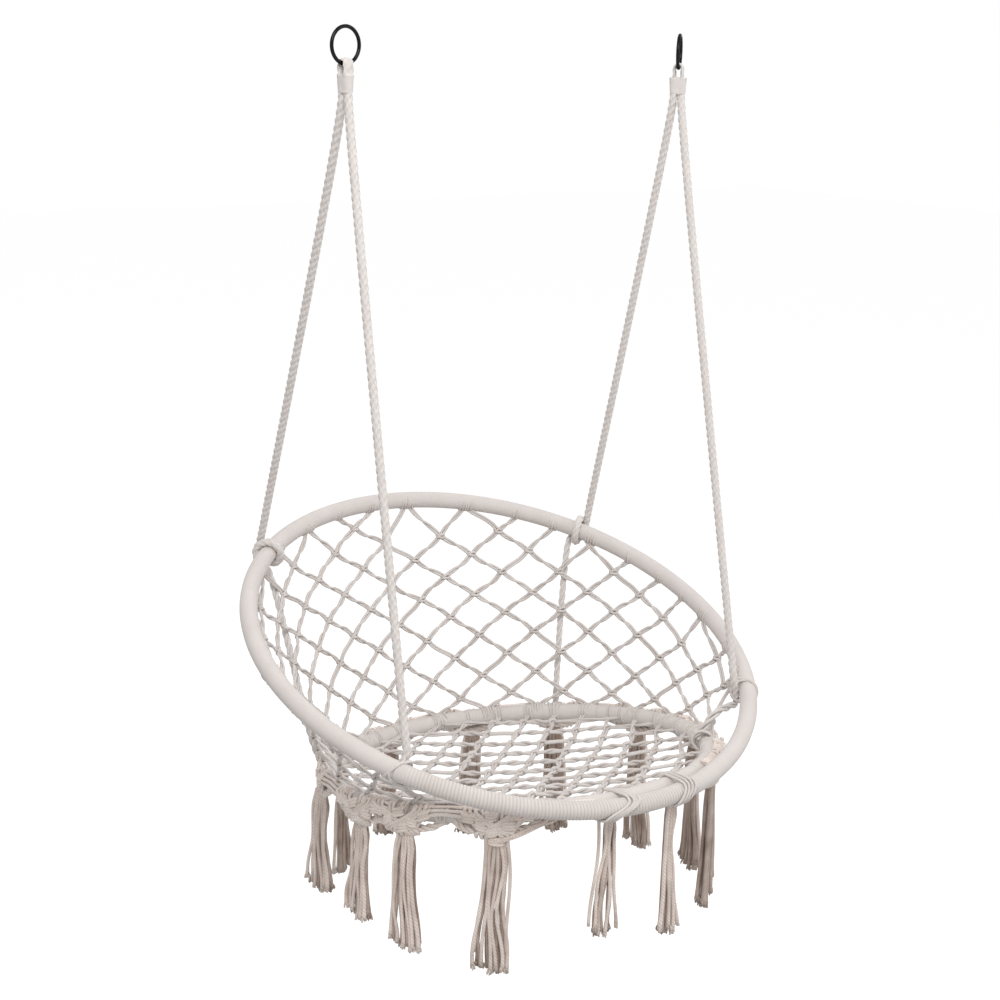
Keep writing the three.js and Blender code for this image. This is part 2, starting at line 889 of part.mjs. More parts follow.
// The seat net fills the seat hoop and sags towards its middle
function buildSeatNet() {

	const net = new Net();
	const across = new THREE.Vector3( 1, 0, 0 );
	const back = new THREE.Vector3( 0, Math.cos( seatSlope ), Math.sin( seatSlope ) );
	const lift = across.clone().cross( back );
	const place = ( x, y ) => moved( seat.centre, across, x, back, y,
		lift, - seatSag * ( 1 - ( x * x + y * y ) / ( seatRadius * seatRadius ) ) );
	const reach = seatRadius - hoopReach - knotMargin - knotHeight / 2;
	const rows = [];
	const half = Math.floor( reach / seatRow );
	for ( let r = - half; r <= half; r ++ ) {

		const row = [];
		const shift = r % 2 ? 0.5 : 0;
		for ( let i = - half; i <= half; i ++ ) {

			const x = ( i + shift ) * seatCell;
			const y = r * seatRow;
			if ( Math.hypot( x, y ) > reach ) continue;
			row.push( Object.assign( net.knot( place( x, y ), across, back ), { x, y } ) );

		}

		rows.push( row );

	}

	const ties = [];
	rows.forEach( ( row, r ) => {

		for ( const knot of row ) {

			[ [ 1, 1 ], [ - 1, 1 ], [ - 1, - 1 ], [ 1, - 1 ] ].forEach( ( [ sx, sy ], side ) => {

				const x = knot.x + sx * seatCell / 2;
				const y = knot.y + sy * seatRow;
				const next = ( rows[ r + sy ] || [] ).find( ( k ) => Math.abs( k.x - x ) < knotWidth );
				if ( next ) {

					if ( sy > 0 ) net.strand( knot, side, next, ( side + 2 ) % 4, false );
					return;

				}

				const end = new THREE.Vector2( knot.x, knot.y );
				const step = new THREE.Vector2( x, y ).sub( end ).multiplyScalar( tieStepShare );
				while ( end.length() < seatRadius ) end.add( step );
				const turn = end.angle() / degree;
				ties.push( { knot, side, turn } );

			} );

		}

	} );

	const lashings = lashedTassels.map( ( index ) => tasselTurns[ index ] );
	spreadTies( ties, seat.radius, [ ...lashings, leftFrontStayTurn, rightFrontStayTurn ] );
	for ( const tie of ties ) net.tie( tie.knot, tie.side, seat, tie.turn );
	net.close( rows.flat() );
	add( 'seat_net', net.geometry(), cotton );

}

buildBackNet();
buildSeatNet();

// The skirt and its tassels. A swag gathers the cords from the seat hoop to the head of its tassel.
const swagReach = swagThickness / 2;
const swagStand = hoopReach * Math.cos( Math.PI / wrapSides / 2 ) + swagReach + restGap;

function swagPoint( turn, share ) {

	const { at, out } = facetFrame( seat, turn );
	const level = out.clone().setZ( 0 ).normalize();
	const endLean = swagStand * Math.cos( swagEndSlope * degree );
	const endDrop = swagStand * Math.sin( swagEndSlope * degree );
	const lean = swagLean + ( endLean - swagLean ) * share;
	const drop = swagDrop + ( endDrop - swagDrop ) * share;
	return moved( at, level, lean, up, - drop );

}

tasselTurns.forEach( ( turn, i ) => {

	const label = String( i + 1 ).padStart( 2, '0' );
	const lashed = lashedTassels.includes( i );
	const count = tasselTurns.length;
	const before = ( ( turn - tasselTurns[ ( i + count - 1 ) % count ] + fullTurn ) % fullTurn ) / 2;
	const after = ( ( tasselTurns[ ( i + 1 ) % count ] - turn + fullTurn ) % fullTurn ) / 2;
	const head = facetFrame( seat, turn ).at;
	if ( lashed ) {

		head.setZ( lashingFeet[ i ] - restGap );

	} else {

		const points = [];
		const rests = [];
		for ( const share of swagShares ) {

			const place = turn + share * ( share < 0 ? before : after ) * swagReachShare;
			points.push( swagPoint( place, Math.abs( share ) ) );
			rests.push( facetFrame( seat, place ).at );

		}

		add( 'swag_' + label, cord( points, swagThickness, swagSides, rests ), shadeCotton );
		head.copy( moved( swagPoint( turn, 0 ), up, - swagReach - restGap ) );

	}

	const length = tasselLength * tasselShares[ i ];
	const profile = [
		[ 0, 0 ], [ tasselNeck / 2, 0 ], [ tasselHead / 2, headHeight / 2 ], [ tasselNeck / 2, headHeight ],
		[ tasselNeck / 2, headHeight + neckHeight ], [ tasselBody / 2, length / 2 ],
		[ tasselFlare / 2, length ], [ 0, length ],
	].map( ( [ r, down ] ) => new THREE.Vector2( r, - down ) ).reverse();
	const bunch = new THREE.LatheGeometry( profile, tasselSides ).rotateX( Math.PI / 2 );
	bunch.scale( tasselDepthShare, tasselWidthShare, 1 );
	const tassel = add( 'tassel_' + label, bunch, cotton );
	tassel.position.copy( head );
	tassel.rotation.z = turn * degree;

} );

export default chair;
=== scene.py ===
from math import acos, atan2, ceil, copysign, cos, degrees, hypot, inf, pi, radians, sin, sqrt
from types import SimpleNamespace

import bmesh
import bpy
import numpy as np
from mathutils import Matrix, Vector
from numpy.linalg import norm


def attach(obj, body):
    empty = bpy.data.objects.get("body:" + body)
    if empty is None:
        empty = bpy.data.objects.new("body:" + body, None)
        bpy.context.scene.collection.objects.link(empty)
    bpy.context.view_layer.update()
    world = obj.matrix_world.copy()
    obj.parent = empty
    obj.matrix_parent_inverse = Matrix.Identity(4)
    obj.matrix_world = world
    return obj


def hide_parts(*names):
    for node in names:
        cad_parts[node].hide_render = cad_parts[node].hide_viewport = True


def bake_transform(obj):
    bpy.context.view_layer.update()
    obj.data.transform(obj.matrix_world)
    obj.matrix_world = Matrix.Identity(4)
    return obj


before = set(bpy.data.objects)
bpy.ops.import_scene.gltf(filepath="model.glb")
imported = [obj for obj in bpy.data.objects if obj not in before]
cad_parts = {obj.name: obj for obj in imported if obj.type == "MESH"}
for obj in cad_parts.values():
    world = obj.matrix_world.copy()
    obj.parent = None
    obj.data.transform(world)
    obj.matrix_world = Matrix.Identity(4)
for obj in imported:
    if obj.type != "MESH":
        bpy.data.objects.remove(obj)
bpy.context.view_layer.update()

MM = 0.001
FULL = 2 * pi
dice = np.random.default_rng(7)


def vec(*values):
    return np.array(values, float)


def unit(v):
    return v / norm(v)


def mix(a, b, share):
    return a + (b - a) * share


def ease(value, low, high):
    share = np.clip((value - low) / (high - low), 0, 1)
    return share * share * (3 - 2 * share)


def rotated(way, towards, angle):
    """A way turned by an angle towards another that is square to it"""
    return way * np.cos(angle) + towards * np.sin(angle)


ACROSS = vec(1, 0, 0)
UP = vec(0, 0, 1)

# Camera
camera_turn = -36.63
camera_rise = 13.96
camera_roll = 1.43
camera_away = 2701.2
camera_target = vec(-52.15, -42.1, -657.36)
camera_lens = 67.12

# Clearances
rest_gap = 0.3
turn_gap = 0.6
seam_gap = 0.6

# Rings and ropes
ring_bore = 43
ring_wire = 5.2
ring_segments = 64
weld_turn = 152
weld_dip = 0.22
ring_spacing = 583
left_ring_turn = 10
right_ring_turn = 43
rope_thickness = 12
rope_reach = rope_thickness / 2
rope_show = 6.3
rope_lead = 45
rope_hold = 22
rope_lay = 34
rope_squeeze = 0.4
strand_reach = 2.6
strand_stand = 2.4
strand_loosens = (0, 30)
leg_foot = 46.4
whipping_top = 13
whipping_foot = 38
whipping_thread = 1.7
leg_tail = 12
stay_tail = 4
loose_lay = {True: (0.5, 46), False: (1.2, 70)}
eye_lead = 10
eye_stand = 3.2
eye_drops = (5, 15, 30)
eye_press = (9, 30)
press_wide = 0.5
press_flat = 0.55
hitch_turns = 1.2

# Hoops
upper_radius = 387
upper_tilt = 20.2
upper_centre = vec(0, 13, -892.5)
seat_radius = 286
seat_tilt = -8.4
hoop_reach = 13.05
hoop_thickness = 2 * hoop_reach
upper_joints = [36, 129.2, 213.5, 324.3]
seat_joints = [26, 112, 216, 293]
stay_turns = {"right_back": 42, "left_back": 138, "left_front": 212, "right_front": 327}
wrap_pitch = 4.9
wrap_sides = 18
wrap_samples = 6
seat_groove = 0.16
back_groove = 0.1
front_groove = 0.8
groove_turns = ((212, 222), (272, 290))

# Cord of the nets, the skirt and the tassels
net_cord = 4.2
tie_cord = 3.6
binding_cord = 4.2
tassel_cord = 5.4
skirt_cord = 5.2
skirt_hold = 44
knot_width = 12
knot_height = 13
knot_thread = 4.4
bight_reach = 6.4
bight_depth = 3.5
bight_apart = 2.3
bight_slant = 1.4
cord_exit = (3.2, 1.4)
pair_stations = 12
seat_net_scale = 1.15
back_row = 34
back_columns = 15
back_seat_turns = (-38, 218)
back_upper_turns = (-30, 208)
knot_margin = 14
hitch_margin = 27
longest_tie_share = 0.9
tie_step_share = 0.02
tie_spacing = 8.2
tie_proud = 2.7
tie_gap = 1.1
tie_slant = 1.5
tie_sink = 3
seat_cell = 74
seat_row = 32
seat_sag = 22
tassel_turns = [12, 42, 69, 99, 125, 149, 183, 200.5, 227, 257.5, 279.7, 306, 327, 345]
tassel_shares = [1.1, 1.02, 1, 0.8, 0.95, 0.87, 0.82, 0.98, 1.13, 1, 1.15, 1.07, 1.03, 1.1]
lashed_tassels = [9, 10]
banded_tassels = [8]
deep_tassels = [11]
loose_cords = {8: ((-15, -9, 172), (15, 6, 168)), 9: ((-19, -6, 160),)}
tassel_stands = {5: 8}
tassel_twists = {5: radians(-36)}
lashed_shift = vec(3, -6, 0)
tassel_length = 180
tassel_pitch = 1.22
# Each row of a tassel's cords: how far back it hangs and its range of tone; the back rows get low tones as
# painted shade behind the front row
tassel_rows = ((-1, (0.0, 0.15)), (0, (0.0, 0.4)), (1, (0.6, 1.0)))
deep_shade = 0.35
cord_sways = ((2.0, 0.5, 0.9), (1.2, 1.3, 2))
tuft_yarns = 9
yarn_reach = (1.4, 1.4, 1.05)
band_slack = ((-2, 13), (3, 15.5))
band_reach = 11
band_depth = 7
band_step = 4
swag_reach = 7
swag_drop = 26
swag_lean = 8
swag_end_slope = radians(60)
fan_places = (-0.95, -0.42, 0.1, 0.5, 0.9)
crossing_fans = ((-0.85, 0.35), (0.7, -0.45))
flat_stand = 6.6
flat_reach = (6, 9.5)
flat_depth = 3.6
flat_step = 4.4
flat_knots = ((-0.9, 0.1), (-0.1, 0.06), (0.85, 0.1), (-0.45, 0.55), (0.4, 0.5), (0, 0.86))
slack_cords = 3
slack_slope = 12
slack_step = 21
fan_roots = ((66, 5.5), (46, 0.8), (22, 0))
edge_hold = 1.35
edge_apart = 3
edge_pitch = 36
lashing_turns = 3
lashing_cord = 4.2
lashing_leans = (-17, -7)

# Studio, in metres and watts: each lamp has its place, size and power
floor_drop = 1.75
floor_size = 30
floor_glow = 0.62
world_light = 0.62
lamp_target = (0, 0, -0.85)
lamps = [
    ("key", (-1.1, -1.7, 1.3), 1.6, 46),
    ("fill", (1.9, -1.3, 0.1), 1.8, 14),
    ("back", (0.3, 2.2, 0.9), 1.8, 14)]


class Hoop:
    """A hoop's own frame: a turn in degrees gives its centre line, the way out and the way along"""

    def __init__(self, radius, centre, tilt):
        slope = radians(tilt)
        self.radius = radius
        self.centre = centre
        self.back = vec(0, cos(slope), sin(slope))
        self.lift = np.cross(ACROSS, self.back)

    def frame(self, turn):
        turn = radians(turn)
        out = rotated(ACROSS, self.back, turn)
        return self.centre + out * self.radius, out, rotated(self.back, -ACROSS, turn)

    def skin(self, turn, slope, stand=0.0):
        """A point on the wrapping: slope 0 is the outside, 90 the top and 180 the inside"""
        at, out = self.frame(turn)[:2]
        return at + rotated(out, self.lift, radians(slope)) * (hoop_reach + stand)

    def turn_for(self, length):
        return degrees(length / self.radius)

    def centre_at(self, turn, far):
        """The centre line some way along the hoop from a turn"""
        return self.frame(turn + self.turn_for(far))[0]


upper = Hoop(upper_radius, upper_centre, upper_tilt)
seat_front = upper.frame(270)[0] + vec(0, hoop_thickness + 2 * rest_gap, 0)
seat = Hoop(seat_radius, seat_front, seat_tilt)
seat.centre = seat_front + seat.back * seat_radius


def add_camera():
    turn, rise, roll = (radians(angle) for angle in (camera_turn, camera_rise, camera_roll))
    back = rotated(vec(sin(turn), -cos(turn), 0), UP, rise)
    right = vec(cos(turn), sin(turn), 0)
    top = np.cross(back, right)
    right, top = rotated(right, top, roll), rotated(top, -right, roll)
    place = (camera_target + back * camera_away) * MM
    data = bpy.data.cameras.new("camera")
    data.lens = camera_lens
    data.clip_end = 60
    camera = new_object("camera", data)
    rows = [[right[i], top[i], back[i], place[i]] for i in range(3)]
    camera.matrix_world = Matrix(rows + [[0, 0, 0, 1]])
    bpy.context.scene.camera = camera


def new_object(name, data):
    made = bpy.data.objects.new(name, data)
    bpy.context.scene.collection.objects.link(made)
    return made


# Routes

def lengths(route):
    return np.concatenate([[0], np.cumsum(norm(np.diff(route, axis=0), axis=1))])


def even(route, step):
    """The same route with its points at even steps"""
    gone = lengths(route)
    count = max(2, int(round(gone[-1] / step)) + 1)
    places = np.linspace(0, gone[-1], count)
    return np.stack([np.interp(places, gone, route[:, k]) for k in range(3)], -1)


def spline(points, step, parts=12):
    """A smooth route through the points"""
    p = np.array(points, float)
    p = np.vstack([2 * p[0] - p[1], p, 2 * p[-1] - p[-2]])
    dense = []
    for a, b, c, d in zip(p, p[1:], p[2:], p[3:]):
        before, here, after = (sqrt(norm(v)) for v in (b - a, c - b, d - c))
        start = ((b - a) / before - (c - a) / (before + here) + (c - b) / here) * here
        end = ((c - b) / here - (d - b) / (here + after) + (d - c) / after) * here
        s = np.linspace(0, 1, parts, endpoint=False)[:, None]
        cubic = 2 * b - 2 * c + start + end
        square = 3 * c - 3 * b - 2 * start - end
        dense.append(b + start * s + square * s ** 2 + cubic * s ** 3)
    dense.append(p[-2][None])
    return even(np.vstack(dense), step)


def hermite(a, way_a, b, way_b, count):
    """A cord's run from a to b that leaves and arrives along the given ways"""
    s = np.linspace(0, 1, count)[:, None]
    return (a * (2 * s ** 3 - 3 * s ** 2 + 1) + way_a * (s ** 3 - 2 * s ** 2 + s)
            + b * (3 * s ** 2 - 2 * s ** 3) + way_b * (s ** 3 - s ** 2))


def winding(bars, right, rise, turns, start, thickness, stations=20, gap=turn_gap):
    """A cord wound round one or two bars, lying at every station on the bar that stands out most"""
    points = []
    for i in range(int(round(turns * stations)) + 1):
        angle = FULL * (start + i / stations)
        way = rotated(right, rise, angle)
        far = (i / stations - turns / 2) * (thickness + gap)
        centre, reach = max(((bar(far), r) for bar, r in bars), key=lambda b: way @ b[0] + b[1])
        points.append(centre + way * (reach + thickness / 2 + rest_gap))
    return points


def frames(route, side=None):
    """Two ways across a route at each point, which turn as little as they can"""
    tangent = np.gradient(route, axis=0)
    tangent /= norm(tangent, axis=1)[:, None] + 1e-12
    across = side if side is not None else np.eye(3)[np.argmin(np.abs(tangent[0]))]
    normal = np.empty_like(tangent)
    for i, way in enumerate(tangent):
        across = across - way * (across @ way)
        across = across / norm(across)
        normal[i] = across
    return normal, np.cross(tangent, normal)


def laid(strands, share):
    """The outline of a rope laid of several strands, as a share of its reach at each angle"""
    step = FULL / strands

    def shape(angle):
        off = (angle + step / 2) % step - step / 2
        return (1 - share) * np.cos(off) + np.sqrt(share ** 2 - ((1 - share) * np.sin(off)) ** 2)

    return shape


three_strand = laid(3, 0.62)


def stadium(half, reach):
    """The outline of two ropes bound side by side, at each angle from the way between them"""

    def shape(angle):
        c, s = np.abs(np.cos(angle)), np.abs(np.sin(angle)) + 1e-9
        ends = half * c + np.sqrt(np.maximum(reach ** 2 - (half * s) ** 2, 0))
        return np.where(c * reach / s <= half, reach / s, ends)

    return shape


def twisted(route, apart, pitch, phase, count=2):
    """The routes of cords that twist round each other along a route"""
    normal, binormal = frames(route)
    gone = lengths(route)[:, None]
    for k in range(count):
        angle = FULL * (gone / pitch + k / count) + phase
        yield route + rotated(normal, binormal, angle) * apart


class Work:
    """A mesh in the making, with a map along its cords, a tone for each cord and a crease mask for painted
    shade
    """

    def __init__(self):
        self.points, self.quads, self.threes = [], [], []
        self.quad_maps, self.three_maps = [], []
        self.tones, self.crests = [], []
        self.count = 0

    def put(self, points, quads, quad_maps, tone, crest, threes=(), three_maps=()):
        self.points.append(points)
        self.quads.append(quads + self.count)
        self.quad_maps.append(quad_maps)
        if len(threes):
            self.threes.append(threes + self.count)
            self.three_maps.append(three_maps)
        self.tones.append(np.broadcast_to(tone, len(points)))
        self.crests.append(np.broadcast_to(crest, len(points)))
        self.count += len(points)

    def tube(self, route, reach, sides=6, shape=None, lay=inf, tone=None, side=None, press=None):
        """A cord along a route: its section may turn with its lay, and be pressed where it is squeezed"""
        route = np.asarray(route, float)
        n = len(route)
        tone = dice.random() if tone is None else tone
        reach = np.broadcast_to(reach, n).astype(float)
        normal, binormal = frames(route, side)
        gone = lengths(route)
        angle = np.broadcast_to(FULL * np.arange(sides) / sides, (n, sides))
        crest = np.ones((n, sides))
        if shape is not None:
            crest = shape(angle - FULL * gone[:, None] / lay)
        radius = reach[:, None] * crest
        spokes = (normal[:, None] * (np.cos(angle) * radius)[..., None]
                  + binormal[:, None] * (np.sin(angle) * radius)[..., None])
        if press is not None:
            spokes = press(route, spokes)
        points = np.vstack([(route[:, None] + spokes).reshape(-1, 3), route[:1], route[-1:]])
        i = np.arange(n - 1)[:, None] * sides
        j = np.arange(sides)[None]
        k = (j + 1) % sides
        quads = np.stack([i + j, i + k, i + sides + k, i + sides + j], -1).reshape(-1, 4)
        along = gone / (FULL * reach.mean())
        u, low, high = np.broadcast_arrays(j / sides, along[:-1, None], along[1:, None])
        maps = np.stack([u, low, u + 1 / sides, low, u + 1 / sides, high, u, high], -1).reshape(-1, 2)
        j, k = j[0], k[0]
        last = (n - 1) * sides
        first_cap = np.stack([np.full(sides, n * sides), k, j], -1)
        last_cap = np.stack([np.full(sides, n * sides + 1), last + j, last + k], -1)
        cap_maps = np.stack([j / sides, np.zeros(sides)] * 3, -1).reshape(-1, 2)
        # Where the crest is below one, between the strands, it marks painted shade in those hollows
        crease_shade_mask = np.concatenate([np.minimum(crest, 1).ravel(), [1, 1]])
        caps = np.vstack([first_cap, last_cap])
        self.put(points, quads, maps, tone, crease_shade_mask, caps, np.tile(cap_maps, (2, 1)))

    def wound(self, hoop, start, end, depth):
        """A hoop's wrapping: one cord wound round it, close, between two turns in degrees"""
        low, high = radians(start) * hoop.radius, radians(end) * hoop.radius
        steps = int(ceil((high - low) / wrap_pitch) + 1) * wrap_samples + 1
        t = np.arange(steps + wrap_samples)[:, None]
        j = np.arange(wrap_sides)[None]
        arc = low + (t / wrap_samples + j / wrap_sides - 1) * wrap_pitch
        off = (t % wrap_samples) / wrap_samples - 0.5
        crest = np.broadcast_to(np.sqrt(1 - (2 * off) ** 2), arc.shape).copy()
        crest[(arc <= low) | (arc >= high)] = 0
        arc = np.clip(arc, low, high)
        turn = arc / hoop.radius
        out = rotated(ACROSS, hoop.back, turn[..., None])
        way = rotated(hoop.lift, out, (FULL * j / wrap_sides)[..., None])
        groove = depth(np.degrees(turn))
        reach = hoop_reach + rest_gap - groove * (1 - crest)
        # The crest also becomes a mask for painted shade in the grooves between the turns, strongest where
        # they are deepest
        crest = 1 - (1 - crest) * np.clip(groove / front_groove, 0, 1)
        points = (hoop.centre + out * hoop.radius + way * reach[..., None]).reshape(-1, 3)
        t, j = np.meshgrid(np.arange(steps - 1), np.arange(wrap_sides), indexing="ij")
        turned = j == wrap_sides - 1
        here = t * wrap_sides + j
        beside = np.where(turned, (t + wrap_samples) * wrap_sides, here + 1)
        quads = np.stack([here, beside, beside + wrap_sides, here + wrap_sides], -1).reshape(-1, 4)
        u = t / wrap_samples
        v = j / wrap_sides * FULL * hoop_reach / wrap_pitch
        step = FULL * hoop_reach / wrap_pitch / wrap_sides
        maps = np.stack([u, v, u, v + step, u + 1 / wrap_samples, v + step, u + 1 / wrap_samples, v], -1)
        self.put(points, quads, maps.reshape(-1, 2), 0.5, crest.ravel())

    def make(self, name, material, body=None, replaced=(), close=False):
        points = np.vstack(self.points) * MM
        faces = [face for part in self.quads + self.threes for face in part.tolist()]
        mesh = bpy.data.meshes.new(name)
        mesh.from_pydata(points.tolist(), [], faces)
        maps = np.vstack(self.quad_maps + self.three_maps)
        mesh.uv_layers.new(name="UVMap").data.foreach_set("uv", maps.ravel())
        for label, values in (("tone", self.tones), ("crest", self.crests)):
            layer = mesh.attributes.new(label, "FLOAT", "POINT")
            layer.data.foreach_set("value", np.concatenate(values).astype(np.float32))
        if close:
            shell = bmesh.new()
            shell.from_mesh(mesh)
            bmesh.ops.remove_doubles(shell, verts=shell.verts, dist=1e-6)
            bmesh.ops.dissolve_degenerate(shell, edges=shell.edges, dist=1e-7)
            bmesh.ops.holes_fill(shell, edges=[e for e in shell.edges if e.is_boundary])
            shell.to_mesh(mesh)
            shell.free()
        mesh.shade_smooth()
        mesh.materials.append(material)
        piece = new_object(name, mesh)
        if replaced:
            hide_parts(*replaced)
        if body:
            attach(piece, body)
        return piece


# Finishes

def add_node(tree, kind, inputs, **settings):
    """A node with its settings: each input gets a plain value or is linked to another node's output"""
    node = tree.nodes.new("ShaderNode" + kind)
    for name, value in settings.items():
        setattr(node, name, value)
    for name, value in inputs.items():
        if isinstance(value, bpy.types.NodeSocket):
            tree.links.new(value, node.inputs[name])
        else:
            node.inputs[name].default_value = value
    return node


def math_node(tree, operation, *values):
    return add_node(tree, "Math", dict(enumerate(values)), operation=operation).outputs[0]


def plus(tree, a, b):
    return math_node(tree, "ADD", a, b)


def times(tree, a, b):
    return math_node(tree, "MULTIPLY", a, b)


def noise_node(tree, vector, scale, detail):
    inputs = {"Vector": vector, "Scale": scale, "Detail": detail, "Roughness": 0.6}
    return add_node(tree, "TexNoise", inputs).outputs["Fac"]


def bump_node(tree, height, strength, distance):
    inputs = {"Height": height, "Strength": strength, "Distance": distance}
    return add_node(tree, "Bump", inputs).outputs[0]


def attribute_node(tree, name):
    return add_node(tree, "Attribute", {}, attribute_name=name).outputs["Fac"]


def ramp_node(tree, factor, *stops):
    node = add_node(tree, "ValToRGB", {0: factor})
    for element, (place, colour) in zip(node.color_ramp.elements, stops):
        element.position = place
        element.color = (*colour, 1)
    return node.outputs["Color"]


def blend_colour(tree, kind, factor, a, b):
    """The node has sockets for every type of value: its colours are inputs 6 and 7 and output 2"""
    return add_node(tree, "Mix", {0: factor, 6: a, 7: b}, data_type="RGBA", blend_type=kind).outputs[2]


def new_material(name, **values):
    """A material with plain values on its shader's own sockets, named with _ for a space"""
    material = bpy.data.materials.new(name)
    material.use_nodes = True
    tree = material.node_tree
    sockets = tree.nodes["Principled BSDF"].inputs
    for label, value in values.items():
        sockets[label.replace("_", " ")].default_value = value
    return material, tree, sockets


def dress(tree, sockets, base, rough, normal):
    for name, value in (("Base Color", base), ("Roughness", rough), ("Normal", normal)):
        tree.links.new(value, sockets[name])


def yarn_group():
    """Spun yarn along a cord: its strands, its fibres, and the shade of its grooves"""
    group = bpy.data.node_groups.new("spun_yarn", "ShaderNodeTree")
    for name, value in (("Strands", 3.0), ("Twist", 0.45), ("Fibres", 9.0)):
        socket = group.interface.new_socket(name=name, in_out="INPUT", socket_type="NodeSocketFloat")
        socket.default_value = value
    for name in ("Height", "Groove", "Fleck"):
        group.interface.new_socket(name=name, in_out="OUTPUT", socket_type="NodeSocketFloat")
    given = group.nodes.new("NodeGroupInput").outputs
    result = group.nodes.new("NodeGroupOutput").inputs
    maps = add_node(group, "UVMap", {}, uv_map="UVMap")
    across, along, _ = add_node(group, "SeparateXYZ", {0: maps.outputs[0]}).outputs
    turn = plus(group, across, times(group, along, given["Twist"]))
    wave = times(group, times(group, turn, given["Strands"]), FULL)
    strand = math_node(group, "ABSOLUTE", math_node(group, "COSINE", times(group, wave, 0.5)))
    angle = times(group, turn, FULL)
    x, y = (times(group, math_node(group, name, angle), given["Fibres"]) for name in ("COSINE", "SINE"))
    place = add_node(group, "CombineXYZ", {0: x, 1: y, 2: along})
    fibre = noise_node(group, place.outputs[0], 1.6, 5)
    height = plus(group, times(group, strand, 0.7), times(group, fibre, 0.3))
    # Groove marks where the strands meet, which the cotton darkens as painted shade
    groove = math_node(group, "SMOOTH_MIN", strand, 0.5, 0.3)
    for name, value in (("Height", height), ("Groove", groove), ("Fleck", fibre)):
        group.links.new(value, result[name])
    return group


yarn = yarn_group()


def cotton(name, strands, twist, depth, groove, low, high):
    """Natural cotton cord: cream, with painted shade in its grooves and creases, loose flecks of fibre and a
    soft sheen
    """
    material, tree, sockets = new_material(
        name, Specular_IOR_Level=0.25, Sheen_Weight=0.18, Sheen_Roughness=0.5)
    lay = add_node(tree, "Group", {"Strands": strands, "Twist": twist}, node_tree=yarn).outputs
    place = add_node(tree, "TexCoord", {}).outputs["Object"]
    cloud = times(tree, noise_node(tree, place, 22, 4), 0.6)
    # The tone differs at random from cord to cord, and on the back rows of the tassels it is low as painted
    # shade
    shade = plus(tree, cloud, times(tree, attribute_node(tree, "tone"), 0.4))
    base = ramp_node(tree, shade, (0.25, low), (0.7, high))
    fleck = ramp_node(tree, lay["Fleck"], (0.3, fleck_shade), (0.62, (1, 1, 1)))
    base = blend_colour(tree, "MULTIPLY", 0.7, base, fleck)
    # Painted shade: the colour goes towards warm_shade where the yarn's strands meet, as strongly as groove
    # sets
    painted_shade = math_node(tree, "SUBTRACT", 1, times(tree, lay["Groove"], 2))
    painted_shade = times(tree, math_node(tree, "MAXIMUM", painted_shade, 0), groove)
    # Painted shade in creases: where the crest mask is low, between a rope's strands and between a wrapping's
    # turns
    painted_crease_shade = math_node(tree, "SUBTRACT", 1, attribute_node(tree, "crest"))
    painted_shade = math_node(tree, "MINIMUM", plus(tree, painted_shade, times(tree, painted_crease_shade, 0.55)), 0.75)
    base = blend_colour(tree, "MIX", painted_shade, base, (*warm_shade, 1))
    rough = plus(tree, 0.82, times(tree, lay["Fleck"], 0.15))
    height = plus(tree, lay["Height"], times(tree, noise_node(tree, place, 900, 3), 0.25))
    dress(tree, sockets, base, rough, bump_node(tree, height, 0.8, depth * MM))
    return material


def steel(name, colour, shine, streak, edge, coat):
    """Steel with fine wear: shine is its roughness, streak how far it varies, and edge its glancing shine"""
    material, tree, sockets = new_material(
        name, Metallic=1, Specular_Tint=(edge, edge, edge, 1), Coat_Weight=coat, Coat_Roughness=0.06)
    place = add_node(tree, "TexCoord", {}).outputs["Object"]
    wear = noise_node(tree, place, 260, 4)
    base = ramp_node(tree, wear, (0.35, colour), (0.7, [1.5 * c for c in colour]))
    rough = plus(tree, shine, times(tree, wear, streak))
    dress(tree, sockets, base, rough, bump_node(tree, noise_node(tree, place, 900, 2), 0.15, 0.1 * MM))
    return material


cream = (0.645, 0.593, 0.565)
pale = (0.735, 0.693, 0.672)
rope_cream = (0.68, 0.635, 0.61)
rope_pale = (0.77, 0.735, 0.715)
warm_cream = (0.82, 0.715, 0.65)
warm_pale = (0.93, 0.855, 0.81)
# The tassels run from deep_cream to soft_cream, partly at random and partly by tone, so their back rows take
# deep_cream as painted shade
deep_cream = (0.3, 0.215, 0.17)
soft_cream = (0.91, 0.805, 0.74)
# warm_shade is the colour of the painted shade in the cords' grooves and creases
warm_shade = (0.47, 0.385, 0.33)
fleck_shade = (0.86, 0.84, 0.82)

rope_cotton = cotton("laid_rope_cotton", 5, 0.5, 0.5, 0.25, rope_cream, rope_pale)
wrap_cotton = cotton("wrapping_cotton", 2, 0.2, 0.25, 0.1, cream, pale)
cord_cotton = cotton("net_cord_cotton", 3, 0.55, 0.4, 0.4, cream, pale)
skirt_cotton = cotton("skirt_cord_cotton", 3, 1.1, 0.6, 0.45, warm_cream, warm_pale)
tassel_cotton = cotton("tassel_cord_cotton", 3, 1.1, 0.8, 0.75, deep_cream, soft_cream)
dark_steel = steel("dark_polished_steel", (0.005, 0.005, 0.0055), 0.12, 0.08, 0.2, 0.25)
bare_steel = steel("drawn_steel", (0.42, 0.425, 0.43), 0.35, 0.2, 1.0, 0.0)


# Rings and ropes

def deselect():
    bpy.ops.object.select_all(action="DESELECT")


